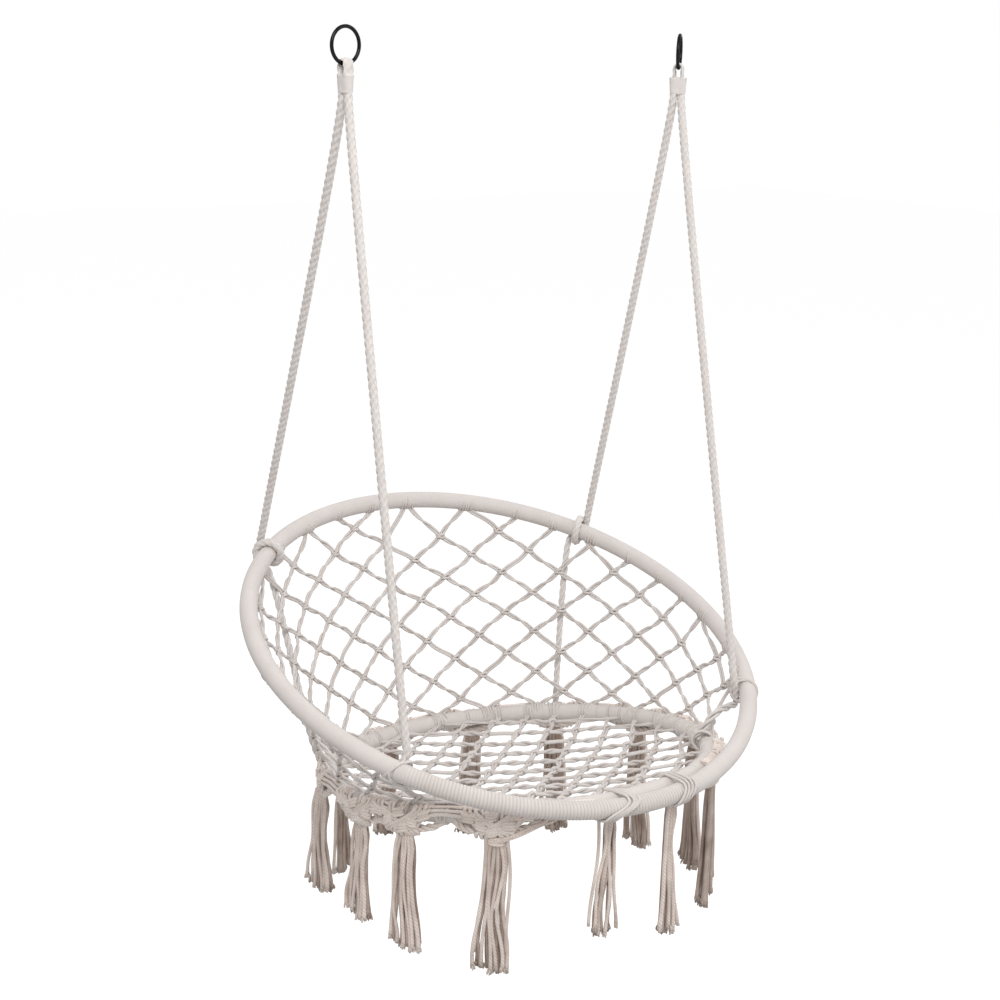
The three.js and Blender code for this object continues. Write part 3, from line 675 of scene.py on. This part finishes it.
def add_ring(side, x, turn):
    """A bent wire ring whose ends are welded together and ground nearly flush"""
    deselect()
    reach = (ring_bore + ring_wire) / 2
    bpy.ops.mesh.primitive_torus_add(
        major_segments=ring_segments, minor_segments=20, major_radius=reach * MM,
        minor_radius=ring_wire / 2 * MM, location=(x * MM, 0, -ring_bore / 2 * MM),
        rotation=(pi / 2, 0, radians(turn)))
    ring = bpy.context.object
    ring.name = side + "_ring_wire"
    weld = radians(weld_turn)
    bpy.ops.object.mode_set(mode="EDIT")
    bpy.ops.mesh.select_all(action="DESELECT")
    bpy.ops.object.mode_set(mode="OBJECT")
    for vertex in ring.data.vertices:
        angle = atan2(vertex.co.y, vertex.co.x)
        vertex.select = abs(angle - weld) < FULL / ring_segments * 0.6
    bpy.ops.object.mode_set(mode="EDIT")
    bpy.ops.mesh.select_mode(type="VERT")
    bpy.ops.transform.shrink_fatten(value=-weld_dip * MM)
    bpy.ops.object.mode_set(mode="OBJECT")
    bpy.ops.object.transform_apply(location=True, rotation=True, scale=True)
    ring.data.materials.append(dark_steel)
    ring.data.shade_smooth()
    smooth = ring.modifiers.new("smooth", "SUBSURF")
    smooth.levels = smooth.render_levels = 1
    bpy.ops.object.modifier_apply(modifier=smooth.name)
    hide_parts(side + "_ring")
    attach(ring, "hanger_rings")


def across_rise(hoop, turn, top, outward):
    """A place on a hoop, the way a rope rises from it to its top, and the side that the rope lies on"""
    at, out, along = hoop.frame(turn)
    rise = top - at
    rise = unit(rise - along * (rise @ along))
    side = unit(np.cross(along, rise))
    if (side @ out > 0) != outward:
        side = -side
    return at, rise, side


def add_rope(name, route, body, bend=None, press=None, parted=None):
    """A laid rope, or the loose strands of one"""
    work = Work()
    if parted:
        apart, pitch = parted
        loose = ease(lengths(route)[:, None], *strand_loosens)
        for strand in twisted(route, strand_stand + apart * loose, pitch, 0.6, 3):
            work.tube(strand, strand_reach, 10)
    else:
        work.tube(route, rope_show, 18, three_strand, rope_lay, tone=0.6, press=press)
    piece = work.make(name + "_laid", rope_cotton, body, [name])
    if bend is not None:
        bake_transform(piece)
    float(lengths(route)[-1] * MM)


def bind(work, hoop, turn, side, rise, over, count=3, lean=8.0):
    """Loops that hold a rope to the side of a hoop that it crosses: each lies slantwise, over the last"""
    at, _, along = hoop.frame(turn)
    angle = np.linspace(0, FULL, 33)[:, None]
    way = rotated(side, rise, angle)
    proud = np.maximum(0, np.cos(angle)) ** 2
    for k in range(count):
        shift = (k - (count - 1) / 2) * binding_cord * 1.1
        far = shift * (1 - 0.3 * proud) + lean * np.sin(angle + 0.7 * k)
        ring = at + along * far + way * (hoop_reach + binding_cord * 0.3 + proud * over)
        work.tube(spline(ring, 2.4, 3), binding_cord / 2, 8)


def add_stay(name, start, way, outside, binding):
    """A stay carries a rope's end on from the upper hoop to the seat hoop"""
    start = start + way * turn_gap
    turn = stay_turns[name]
    at, rise, side = across_rise(seat, turn, start, outside)
    end = at + side * (hoop_reach + rope_reach + rest_gap)
    points = [start, start + way * eye_lead, end + rise * rope_lead, end, end - rise * stay_tail]
    bend = (mix(end, start, 0.05), mix(end, start, 0.9))
    add_rope(name + "_stay", spline(points, 2.4), None, bend, parted=loose_lay[outside])
    bind(binding, seat, turn, side, -rise, rope_thickness, 4, 5)


def add_whipping(side, near, through, leg):
    """A whipping of fine thread holds a rope's two legs together"""
    work = Work()
    high = np.arange(whipping_top, whipping_foot, whipping_thread / 6)
    rib = np.abs(np.sin(pi * (high - whipping_top) / whipping_thread))
    swell = ease(high, whipping_top - 1, whipping_top + 2)
    swell = swell * (1 - ease(high, whipping_foot - 2, whipping_foot + 1))
    taper = 1.1 - 0.16 * (high - whipping_top) / (whipping_foot - whipping_top)
    reach = (0.82 + 0.12 * swell + 0.012 * rib) * taper
    route = np.stack([near(0, -h) for h in high])
    work.tube(route, reach, 28, stadium(leg, rope_reach + 1.2), tone=0.75, side=through)
    work.make(side + "_whipping_thread", wrap_cotton, "upper_frame", [side + "_whipping"])


def add_front_binding(side, turn, in_side, rise):
    """The binding ties a rope's front end to the upper hoop"""
    work = Work()
    bind(work, upper, turn, in_side, rise, rope_thickness, 3, 9)
    work.make(side + "_front_binding_cord", cord_cotton, "upper_frame", [side + "_front_binding"])


def add_side(side, sign, ring_turn, back_turn, front_turn):
    """A ring with all that hangs on it: its rope, the rope's hitches on the upper hoop and two stays"""
    x = sign * ring_spacing / 2
    add_ring(side, x, ring_turn)
    wire = vec(x, 0, -ring_bore - ring_wire / 2)
    turn = radians(ring_turn)
    through = vec(-sin(turn), cos(turn), 0)
    along_wire = vec(cos(turn), sin(turn), 0)

    def near(t, u):
        return wire + through * t + UP * u

    # One rope goes over the wire, pressed flat there, and its two legs hang close together below it
    leg = rope_reach - rope_squeeze
    stand = ring_wire / 2 + eye_stand
    falls = list(zip((stand, leg, leg, leg + rest_gap), (*eye_drops, leg_foot)))
    eye = [near(apart, -drop) for apart, drop in falls[::-1]]
    eye += [near(stand * cos(a), stand * sin(a)) for a in np.linspace(0, pi, 7)]
    eye += [near(-apart, -drop) for apart, drop in falls]

    def press(route, spokes):
        hold = 1 - ease(norm(route - wire, axis=1), *eye_press)[:, None, None]
        wide = (spokes @ along_wire)[..., None] * along_wire
        return wide * (1 + press_wide * hold) + (spokes - wide) * (1 - press_flat * hold)

    _, rise, out_side = across_rise(upper, back_turn, eye[0], True)
    bars = [(lambda far: upper.centre_at(back_turn, far), hoop_reach)]
    hitch = winding(bars, out_side, -rise, hitch_turns, 0, rope_thickness, 14)
    at, front_rise, in_side = across_rise(upper, front_turn, eye[-1], False)
    touch = at + in_side * (hoop_reach + rope_reach + rest_gap)
    hold = touch + front_rise * rope_hold
    front_end = touch - front_rise * leg_tail
    back_lead = hitch[0] + unit(eye[0] - hitch[0]) * rope_lead
    front_lead = hold + unit(eye[-1] - hold) * rope_lead
    route = spline(hitch[::-1] + [back_lead] + eye + [front_lead, hold, touch, front_end], 2.4)
    add_rope(side + "_rope", route, "upper_frame", press=press)

    last = unit(hitch[-1] - hitch[-2])
    ends = Work()
    for place, start, way in (("back", hitch[-1], last), ("front", front_end, -front_rise)):
        add_stay(f"{side}_{place}", start, way, place == "back", ends)
    ends.make(side + "_stay_bindings", cord_cotton, "seat")
    add_whipping(side, near, through, leg)
    add_front_binding(side, front_turn, in_side, front_rise)


# Hoops

def upper_groove(turn):
    """The grooves between the turns of the upper hoop's wrapping are deep only over its front"""
    rise, fall = (ease(turn % 360, *turns) for turns in groove_turns)
    return back_groove + front_groove * rise * (1 - fall)


def add_wraps():
    names = ["back", "left", "front", "right"]
    hoops = [("upper", upper, upper_joints, "upper_frame", upper_groove),
             ("seat", seat, seat_joints, "seat", lambda turn: seat_groove)]
    for prefix, hoop, joints, body, depth in hoops:
        seam = hoop.turn_for(seam_gap / 2)
        for name, start, end in zip(names, joints, joints[1:] + [joints[0] + 360]):
            work = Work()
            work.wound(hoop, start + seam, end - seam, depth)
            node = f"{prefix}_wrap_{name}"
            work.make(node + "_wound", wrap_cotton, body, [node], close=True)


# Nets

class Net:
    """Knots joined by pairs of cord, and tied to the hoops with close turns"""

    def __init__(self):
        self.work = Work()
        self.ties = {"upper": Work(), "seat": Work()}

    def knot(self, at, right, rise):
        jitter = dice.normal(0, 0.9, 3)
        at = at + right * jitter[0] + rise * jitter[1]
        out = unit(np.cross(right, rise))
        return SimpleNamespace(at=at, right=right, rise=rise, out=out)

    def tie_knot(self, knot):
        """Two bights that cross round the junction, flat along the net"""
        lean = dice.normal(0, 0.16)
        right = knot.right + knot.rise * lean
        angle = np.array([[FULL * i / 12] for i in range(13)])
        c, s = np.cos(angle), np.sin(angle)
        loop = knot.at + right * bight_reach * c + knot.out * bight_depth * s
        for k in (1, -1):
            ring = loop + knot.rise * (k * bight_apart + bight_slant * k * c * np.sign(s))
            self.work.tube(spline(ring, 3.2, 2), knot_thread / 2, 6)

    def pair(self, a, way_a, b, way_b, out, scale=1.0):
        """Two cords from a to b, side by side at both ends and mostly with half a twist between"""
        route = hermite(a, way_a, b, way_b, pair_stations)
        span = norm(b - a)
        s = np.linspace(0, 1, pair_stations)[:, None]
        bow = np.sin(pi * s)
        route = route + out * bow * dice.normal(0, 0.015) * span
        tangent = unit(b - a)
        across = unit(np.cross(out, tangent))
        route = route + across * bow * dice.normal(0, 0.02) * span
        twist = pi * dice.choice([-1, 1]) * (dice.random() < 0.85)
        turn = dice.uniform(-0.25, 0.25) + twist * ease(s, 0.16, 0.84)
        thick = net_cord * scale
        offset = rotated(across, out, turn) * thick * (0.52 - 0.07 * bow)
        tone = dice.random()
        for way in (1, -1):
            self.work.tube(route + way * offset, thick / 2 * dice.uniform(0.94, 1.02), 6, tone=tone)

    def strand(self, a, b, scale=1.0):
        reach = norm(b.at - a.at)
        way = unit(b.at - a.at)
        ends = []
        for knot, sign in ((a, 1), (b, -1)):
            aside = knot.right * np.sign(way @ knot.right)
            rise = knot.rise * np.sign(way @ knot.rise)
            lean = unit(way + rise * dice.uniform(0.1, 0.6))
            ends += [knot.at + (aside * cord_exit[0] + rise * cord_exit[1]) * sign, lean * reach]
        self.pair(*ends, unit(a.out + b.out), scale)

    def tie(self, knot, hoop, key, turn):
        """A pair's end at a hoop: it sinks between the turns of the wrapping, which show on this side only"""
        at, _, along = hoop.frame(turn)
        way = knot.at - at
        way = unit(way - along * (way @ along))
        end = at + way * (hoop_reach - 1)
        run = end - knot.at
        reach = norm(run)
        start = unit(unit(run) + knot.rise * np.sign(run @ knot.rise) * 0.3)
        finish = unit(run) * reach * 0.7 - way * reach * 0.3
        self.pair(knot.at, start * reach, end, finish, knot.out)
        up = np.cross(along, way)
        turns = int(dice.integers(2, 4))
        for k in range(turns):
            route = []
            low, high = dice.uniform(-2.2, -1.3), dice.uniform(1.3, 2.2)
            for angle in np.linspace(low, high, 10):
                far = (k - (turns - 1) / 2) * (tie_cord + tie_gap) + tie_slant * angle / high
                sunk = tie_sink * (angle / (high if angle > 0 else low)) ** 4
                ring = rotated(way, up, angle) * (hoop_reach - tie_cord / 2 + tie_proud - sunk)
                route.append(hoop.centre_at(turn, far) + ring)
            self.ties[key].tube(route, tie_cord / 2, 6)


def spread_ties(ties, hoop, taken):
    """Ties that share a hoop are moved apart until neighbours clear each other and every place taken"""
    least = hoop.turn_for(tie_spacing)
    clear = hoop.turn_for(hitch_margin)
    for tie in ties:
        for place in taken:
            off = (tie.turn - place + 540) % 360 - 180
            if abs(off) < clear:
                tie.turn += copysign(clear - abs(off), off)
    ties.sort(key=lambda tie: tie.turn)
    for _ in range(8):
        for a, b in zip(ties, ties[1:]):
            short = least - (b.turn - a.turn)
            if short > 0:
                a.turn -= short / 2
                b.turn += short / 2


def add_back_net():
    net = Net()

    def line(u):
        share = u / back_columns
        low = seat.frame(mix(*back_seat_turns, share))
        high = upper.frame(mix(*back_upper_turns, share))
        span = high[0] - low[0]
        return low, high, norm(span), unit(span)

    rows = []
    reach = hoop_reach + knot_margin + knot_height / 2
    for height in range(back_row, 2 * upper_radius, back_row):
        row = []
        for i in range(back_columns):
            u = i + (1 if len(rows) % 2 else 0.5)
            low, high, length, rise = line(u)
            if u < back_columns and height <= length - reach:
                along = mix(low[2], high[2], height / length)
                out = unit(np.cross(along, rise))
                knot = net.knot(low[0] + rise * height, unit(np.cross(rise, out)), rise)
                knot.u, knot.height = u, height
                row.append(knot)
        rows.append(row)

    ties = {"seat": [], "upper": []}
    for r, row in enumerate(rows):
        for knot in row:
            net.tie_knot(knot)
            for sign in (1, -1):
                wanted = knot.u + sign / 2
                above = rows[r + 1] if r + 1 < len(rows) else []
                beside = [k for k in above if abs(k.u - wanted) < tie_step_share]
                if beside:
                    net.strand(knot, beside[0])
                else:
                    rise = 0
                    while (rise < longest_tie_share and knot.height + rise * back_row
                           < line(knot.u + sign * rise / 2)[2] - hoop_reach):
                        rise += tie_step_share
                    turn = mix(*back_upper_turns, (knot.u + sign * rise / 2) / back_columns)
                    ties["upper"].append(SimpleNamespace(knot=knot, turn=turn))
                if r == 0:
                    share = (knot.u + sign * longest_tie_share / 2) / back_columns
                    ties["seat"].append(SimpleNamespace(knot=knot, turn=mix(*back_seat_turns, share)))
    spread_ties(ties["seat"], seat, [])
    spread_ties(ties["upper"], upper, upper_joints[:2])
    for key, hoop in (("seat", seat), ("upper", upper)):
        for tie in ties[key]:
            net.tie(tie.knot, hoop, key, tie.turn)
    piece = net.work.make("back_net_knotted", cord_cotton, None, ["back_net"])
    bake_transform(piece)
    net.ties["upper"].make("back_net_upper_ties", cord_cotton, "upper_frame")
    return net.ties["seat"]


def add_seat_net(seat_ties):
    net = Net()
    net.ties["seat"] = seat_ties

    def place(x, y):
        drop = seat_sag * (1 - (x * x + y * y) / seat_radius ** 2)
        return seat.centre + ACROSS * x + seat.back * y - seat.lift * drop

    reach = seat_radius - hoop_reach - knot_margin - knot_height / 2
    half = int(reach // seat_row)
    rows = []
    for r in range(-half, half + 1):
        row = []
        for i in range(-half, half + 1):
            x, y = (i + (0.5 if r % 2 else 0)) * seat_cell, r * seat_row
            if hypot(x, y) <= reach:
                knot = net.knot(place(x, y), ACROSS, seat.back)
                knot.x, knot.y = x, y
                row.append(knot)
        rows.append(row)
    ties = []
    for r, row in enumerate(rows):
        for knot in row:
            net.tie_knot(knot)
            for sx, sy in ((1, 1), (-1, 1), (-1, -1), (1, -1)):
                x, y = knot.x + sx * seat_cell / 2, knot.y + sy * seat_row
                beyond = rows[r + sy] if 0 <= r + sy < len(rows) else []
                beside = [k for k in beyond if abs(k.x - x) < knot_width]
                if beside:
                    if sy > 0:
                        net.strand(knot, beside[0], seat_net_scale)
                    continue
                end = vec(knot.x, knot.y)
                step = (vec(x, y) - end) * tie_step_share
                while np.hypot(*end) < seat_radius:
                    end += step
                ties.append(SimpleNamespace(knot=knot, turn=degrees(atan2(end[1], end[0])) % 360))
    taken = [tassel_turns[i] for i in lashed_tassels] + [stay_turns["left_front"], stay_turns["right_front"]]
    spread_ties(ties, seat, taken)
    for tie in ties:
        net.tie(tie.knot, seat, "seat", tie.turn)
    net.work.make("seat_net_knotted", cord_cotton, "seat", ["seat_net"])
    net.ties["seat"].make("seat_hoop_ties", cord_cotton, "seat")


# Skirt and tassels

def bight(at, along, out, spare, count):
    """A half turn of cord round the front of a place, and a little more at both ends"""
    angle = np.linspace(-spare, pi + spare, count)[:, None]
    return at + rotated(along, out, angle)


def swag_point(turn, share):
    at, out = seat.frame(turn)[:2]
    level = unit(out * vec(1, 1, 0))
    stand = hoop_reach + swag_reach
    lean = mix(swag_lean, stand * cos(swag_end_slope), share)
    drop = mix(swag_drop, stand * sin(swag_end_slope), share)
    return at + level * lean - UP * drop, level


def add_swag(index, turn, after):
    """A knot of the skirt: cords leave the hoop and gather over the tassel, and slack ones go to the next"""
    work = Work()
    wide = seat.turn_for(skirt_hold)

    def around(aside):
        return turn + wide * aside

    def foot(aside):
        return swag_point(around(aside), min(1, abs(aside)) ** 1.3)

    def surface(aside, down, stand):
        """A place on the knot: aside is -1 to 1 across it, and down 0 at the hoop and 1 at its edge"""
        at, level = foot(aside)
        return mix(seat.skin(around(aside), 10, stand), at + level * (3 + stand * 0.6), down)

    def lay_cord(route):
        work.tube(spline(route, 4, 6), skirt_cord / 2 * dice.uniform(0.9, 1.08), 7)

    # A thick twisted edge
    edge = [seat.skin(around(-edge_hold), -50, -3)] + [foot(aside)[0] for aside in np.linspace(-1, 1, 13)]
    edge = spline(edge + [seat.skin(around(edge_hold), -50, -3)], 2, 4)
    for strand in twisted(edge, edge_apart, edge_pitch * dice.uniform(0.85, 1.15), dice.uniform(0, 6), 3):
        work.tube(strand, skirt_cord / 2, 8)

    # Cords that come off the hoop side by side, and others that cross over them
    def fan(start, end, stand, middle):
        route = [seat.skin(around(start), slope, stand - sunk) for slope, sunk in fan_roots]
        for aside, down in ((mix(start, end, 0.4), 0.35), (mix(start, end, middle), 0.7)):
            route.append(surface(aside, down, stand + dice.uniform(-0.3, 1.4)))
        at, level = foot(end)
        route += [at + level * (5 + stand * 0.4) - UP * 1, at + level * 1.5 - UP * 8]
        lay_cord(route)

    for aside in fan_places:
        aside += dice.uniform(-0.1, 0.1)
        for twin in (-0.075, 0.075):
            fan(aside + twin, aside * 0.42 + twin, 2.6 + dice.uniform(0, 0.8), dice.uniform(0.6, 0.8))
    for start, end in crossing_fans:
        start += dice.uniform(-0.1, 0.1)
        for twin in (-0.16, 0, 0.16):
            fan(start + twin, end + twin, 6 + dice.uniform(0, 1.4), dice.uniform(0.6, 0.85))

    # Flat knots where the cords cross
    for aside, down in flat_knots:
        aside += dice.uniform(-0.12, 0.12)
        at = surface(aside, down + dice.uniform(-0.06, 0.06), flat_stand)
        out, along = seat.frame(around(aside))[1:]
        out = unit(out * vec(1, 1, 0)) * flat_depth
        along = along + UP * dice.uniform(-0.5, 0.5)
        for k in (-1, 0, 1):
            ring = bight(at + UP * k * flat_step, along * dice.uniform(*flat_reach), out, 0.3, 9)
            work.tube(spline(ring, 2.8, 2), skirt_cord / 2, 7)

    # Slack cords from this knot to the next lie side by side over the bare wrapping
    slack = dice.uniform(8, 26)
    for k in range(slack_cords):
        route = []
        for s in np.linspace(0, 1, 9):
            bow = sin(pi * s)
            slope = slack_slope + slack * bow + (k - 1) * slack_step + dice.uniform(-2, 2)
            span = mix(wide * 0.5, 2 * after - wide * 0.5, s)
            stand = 2.4 + 3 * (1 - bow) + dice.uniform(-0.3, 0.5)
            route.append(seat.skin(turn + span, slope, stand))
        lay_cord(route)
    name = f"swag_{index + 1:02d}"
    work.make("skirt_" + name, skirt_cotton, "seat", [name])


def add_bands(work, turn, head, along, out):
    """Two slack cords from the hoop to a tassel's head, and three bands round it"""
    for side, reach in band_slack:
        start = head + along * side + out * 8 - UP * 4
        top = seat.skin(turn + reach, -35, 3)
        route = [start, mix(start, top, 0.35) + out * 4 - UP * 1, mix(start, top, 0.75), top]
        for more, slope, proud in ((1.5, 30, 2), (2, 70, -3)):
            route.append(seat.skin(turn + reach + more, slope, proud))
        work.tube(spline(route, 3, 5), tassel_cord * 0.45, 8, tone=0.8)
    for k in (-1, 0, 1):
        band = bight(head + out - UP * band_step * (k + 1), along * band_reach, out * band_depth, 0.4, 11)
        work.tube(spline(band, 2, 2), skirt_cord / 2, 8, tone=0.9)


def add_tassel(index, turn, head):
    """A flat bunch of cords that hang side by side from the skirt and fray at their ends"""
    work = Work()
    out = unit(seat.frame(turn)[1] * vec(1, 1, 0))
    along = unit(np.cross(UP, out))
    stand = tassel_stands.get(index, 0)
    twist = tassel_twists.get(index, 0)
    turned = rotated(along, out, twist)
    if stand:
        for place in (-5, 0, 5):
            back = head - out * stand + along * place
            top = back + out * stand * 0.5 + UP * 8
            front = head + turned * place
            arc = spline([back + UP * 6, top, front + UP, front - UP * 9], 3, 5)
            work.tube(arc, skirt_cord / 2, 7, tone=0.8)
    out, along = rotated(out, -along, twist), turned
    length = tassel_length * tassel_shares[index]
    count = 4 if index in lashed_tassels else 6
    size = tassel_cord * dice.uniform(0.98, 1.06)
    lean, phase = dice.normal(0, 2.5), dice.uniform(0, FULL)
    curl = dice.choice([-1, 1]) * dice.uniform(1.4, 2.8)
    split = dice.uniform(2, 5)
    gap = dice.uniform(-0.4, 0.4) * count * size

    def bend(place, down):
        """How the whole bunch sways, and parts at one place towards its ends"""
        parting = split * np.tanh((place - gap) / 3) * ease(down, 0.3, 1)
        wave = curl * (np.sin(phase + 5.2 * down) - sin(phase))
        return lean * down ** 1.5 + wave * ease(down, 0, 0.4) + parting

    def hang(place, row, own, thick, tone):
        """One cord, wavy and blunt, with a brush of loose yarn at its end"""
        down = np.linspace(0, 1, 18)[:, None]
        sway = 0
        for swing, low, high in cord_sways:
            reach = dice.normal(0, swing)
            sway = sway + reach * np.sin(FULL * (dice.uniform(low, high) * down + dice.random()))
        spread = 0.6 + 0.26 * ease(down, 0, 0.14) + 0.12 * down + 0.26 * ease(down, 0.55, 0.9)
        depth = row * thick * (0.45 + 0.35 * down) + dice.normal(0, 1.6) * down
        route = head + along * (place * spread + sway * ease(down, 0, 0.25) + bend(place, down))
        route = route + out * depth - UP * own * down
        route[0] += UP * 5 - out * row * 2
        work.tube(route, thick / 2 * (1 + 0.3 * ease(down, 0.9, 1)[:, 0]), 7, tone=tone)
        foot, way = route[-1], unit(route[-1] - route[-2])
        for _ in range(tuft_yarns):
            side = (along * dice.normal(0, 1) + out * dice.normal(0, 1)) * 1.5
            start = foot + side - way * 4
            end = start + way * dice.uniform(5.5, 8) + side * 0.4
            work.tube([start, mix(start, end, 0.5) + side * 0.1, end], yarn_reach, 5, tone=tone * 0.9)

    shade = deep_shade if index in deep_tassels else 1
    # Each cord's tone comes from its row: low on the back rows, as painted shade
    for row, tones in tassel_rows:
        here = count - (row != 1)
        for k in range(here):
            place = (k - (here - 1) / 2) * size * tassel_pitch
            thick = size * dice.uniform(0.92, 1.08)
            rounding = 0.045 * (2 * place / (here * size * tassel_pitch)) ** 2
            own = length * (dice.uniform(0.95, 1.0) - rounding)
            hang(place, row, own, thick, shade * dice.uniform(*tones))
    if index in banded_tassels:
        add_bands(work, turn, head, along, out)
    for side, lean, reach in loose_cords.get(index, ()):
        down = np.linspace(0, 1, 15)[:, None]
        swing = along * (side + lean * down + 3.5 * np.sin(FULL * down * 0.8)) + out * 4
        work.tube(head + swing + UP * 4 * (1 - down) - UP * reach * down, tassel_cord * 0.45, 8, tone=0.8)
    name = f"tassel_{index + 1:02d}"
    work.make(name + "_cords", tassel_cotton, "seat", [name])


def add_lashing(index, side, lean):
    """A cord wound slantwise round both hoops at the front, which gives its lowest point"""
    seat_turn = tassel_turns[index]
    seat_side = seat_radius * cos(radians(seat_turn))
    upper_turn = 360 - degrees(acos(seat_side / upper_radius))
    upper_at, _, upper_along = upper.frame(upper_turn)
    between = unit(seat.frame(seat_turn)[0] - upper_at)
    rise = unit(np.cross(between, upper_along))
    reach = hoop_reach + 0.4
    bars = [(lambda far: upper.centre_at(upper_turn, far), reach),
            (lambda far: seat.centre_at(seat_turn, far), reach)]
    route = np.array(winding(bars, between, rise, lashing_turns + 0.6, 0.1, lashing_cord, 28, 1.5))
    height = (route - upper_at) @ rise
    slant = np.sin(np.clip(height / hoop_reach, -1, 1) * pi / 2)
    wander = dice.normal(0, 1, len(route)).cumsum() * 0.32
    route += upper_along * (lean * slant + wander)[:, None]
    work = Work()
    work.tube(spline(route, 2.2, 3), lashing_cord / 2, 8, tone=0.6)
    work.make(side + "_lashing_cord", cord_cotton, "upper_frame", [side + "_lashing"])
    return route[:, 2].min() - lashing_cord / 2


def add_skirt():
    sides = zip(lashed_tassels, ("left", "right"), lashing_leans)
    feet = {index: add_lashing(index, side, lean) for index, side, lean in sides}
    for index, turn in enumerate(tassel_turns):
        after = (tassel_turns[(index + 1) % len(tassel_turns)] - turn) % 360 / 2
        if index in feet:
            head = seat.frame(turn)[0].copy()
            head[2] = feet[index] - rest_gap
            head += lashed_shift
        else:
            add_swag(index, turn, after)
            at, level = swag_point(turn, 0)
            head = at - UP * (swag_reach - 2) + level * tassel_stands.get(index, 0)
        add_tassel(index, turn, head)


# Studio

def seen(tree, strength):
    """The strength where the camera, a reflection or glass sees the surface, and none for its light"""
    path = tree.nodes.new("ShaderNodeLightPath")
    rays = path.outputs["Is Camera Ray"]
    for name in ("Is Glossy Ray", "Is Transmission Ray"):
        rays = math_node(tree, "MAXIMUM", rays, path.outputs[name])
    return times(tree, rays, strength)


def add_studio():
    deselect()
    bpy.ops.mesh.primitive_plane_add(size=floor_size, location=(0, 0, -floor_drop))
    floor = bpy.context.object
    floor.name = "floor"
    bpy.ops.object.transform_apply(location=True)
    material, tree, sockets = new_material(
        "pale_floor", Base_Color=(0.6, 0.6, 0.6, 1), Roughness=0.9, Specular_IOR_Level=0,
        Emission_Color=(1, 1, 1, 1))
    tree.links.new(seen(tree, floor_glow), sockets["Emission Strength"])
    floor.data.materials.append(material)

    world = bpy.data.worlds.new("studio")
    bpy.context.scene.world = world
    world.use_nodes = True
    tree = world.node_tree
    light = tree.nodes["Background"]
    light.inputs["Color"].default_value = (1, 1, 1, 1)
    strength = plus(tree, world_light, seen(tree, 1 - world_light))
    tree.links.new(strength, light.inputs["Strength"])
    for name, place, size, power in lamps:
        data = bpy.data.lights.new(name, "AREA")
        data.size = size
        data.energy = power
        lamp = new_object(name, data)
        lamp.location = place
        lamp.rotation_euler = (Vector(place) - Vector(lamp_target)).to_track_quat("Z", "Y").to_euler()
    bpy.context.scene.view_settings.view_transform = "Standard"


def finish_frame():
    """The tubes inside the hoops keep their own shape and get their steel"""
    for name in ("upper_hoop_tube", "upper_hoop_spigot", "seat_hoop_tube", "seat_hoop_spigot"):
        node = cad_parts[name]
        node.data.materials.clear()
        node.data.materials.append(bare_steel)


add_camera()
add_side("left", -1, left_ring_turn, upper_joints[1], upper_joints[2])
add_side("right", 1, right_ring_turn, upper_joints[0], upper_joints[3])
add_wraps()
add_seat_net(add_back_net())
add_skirt()
finish_frame()
add_studio()
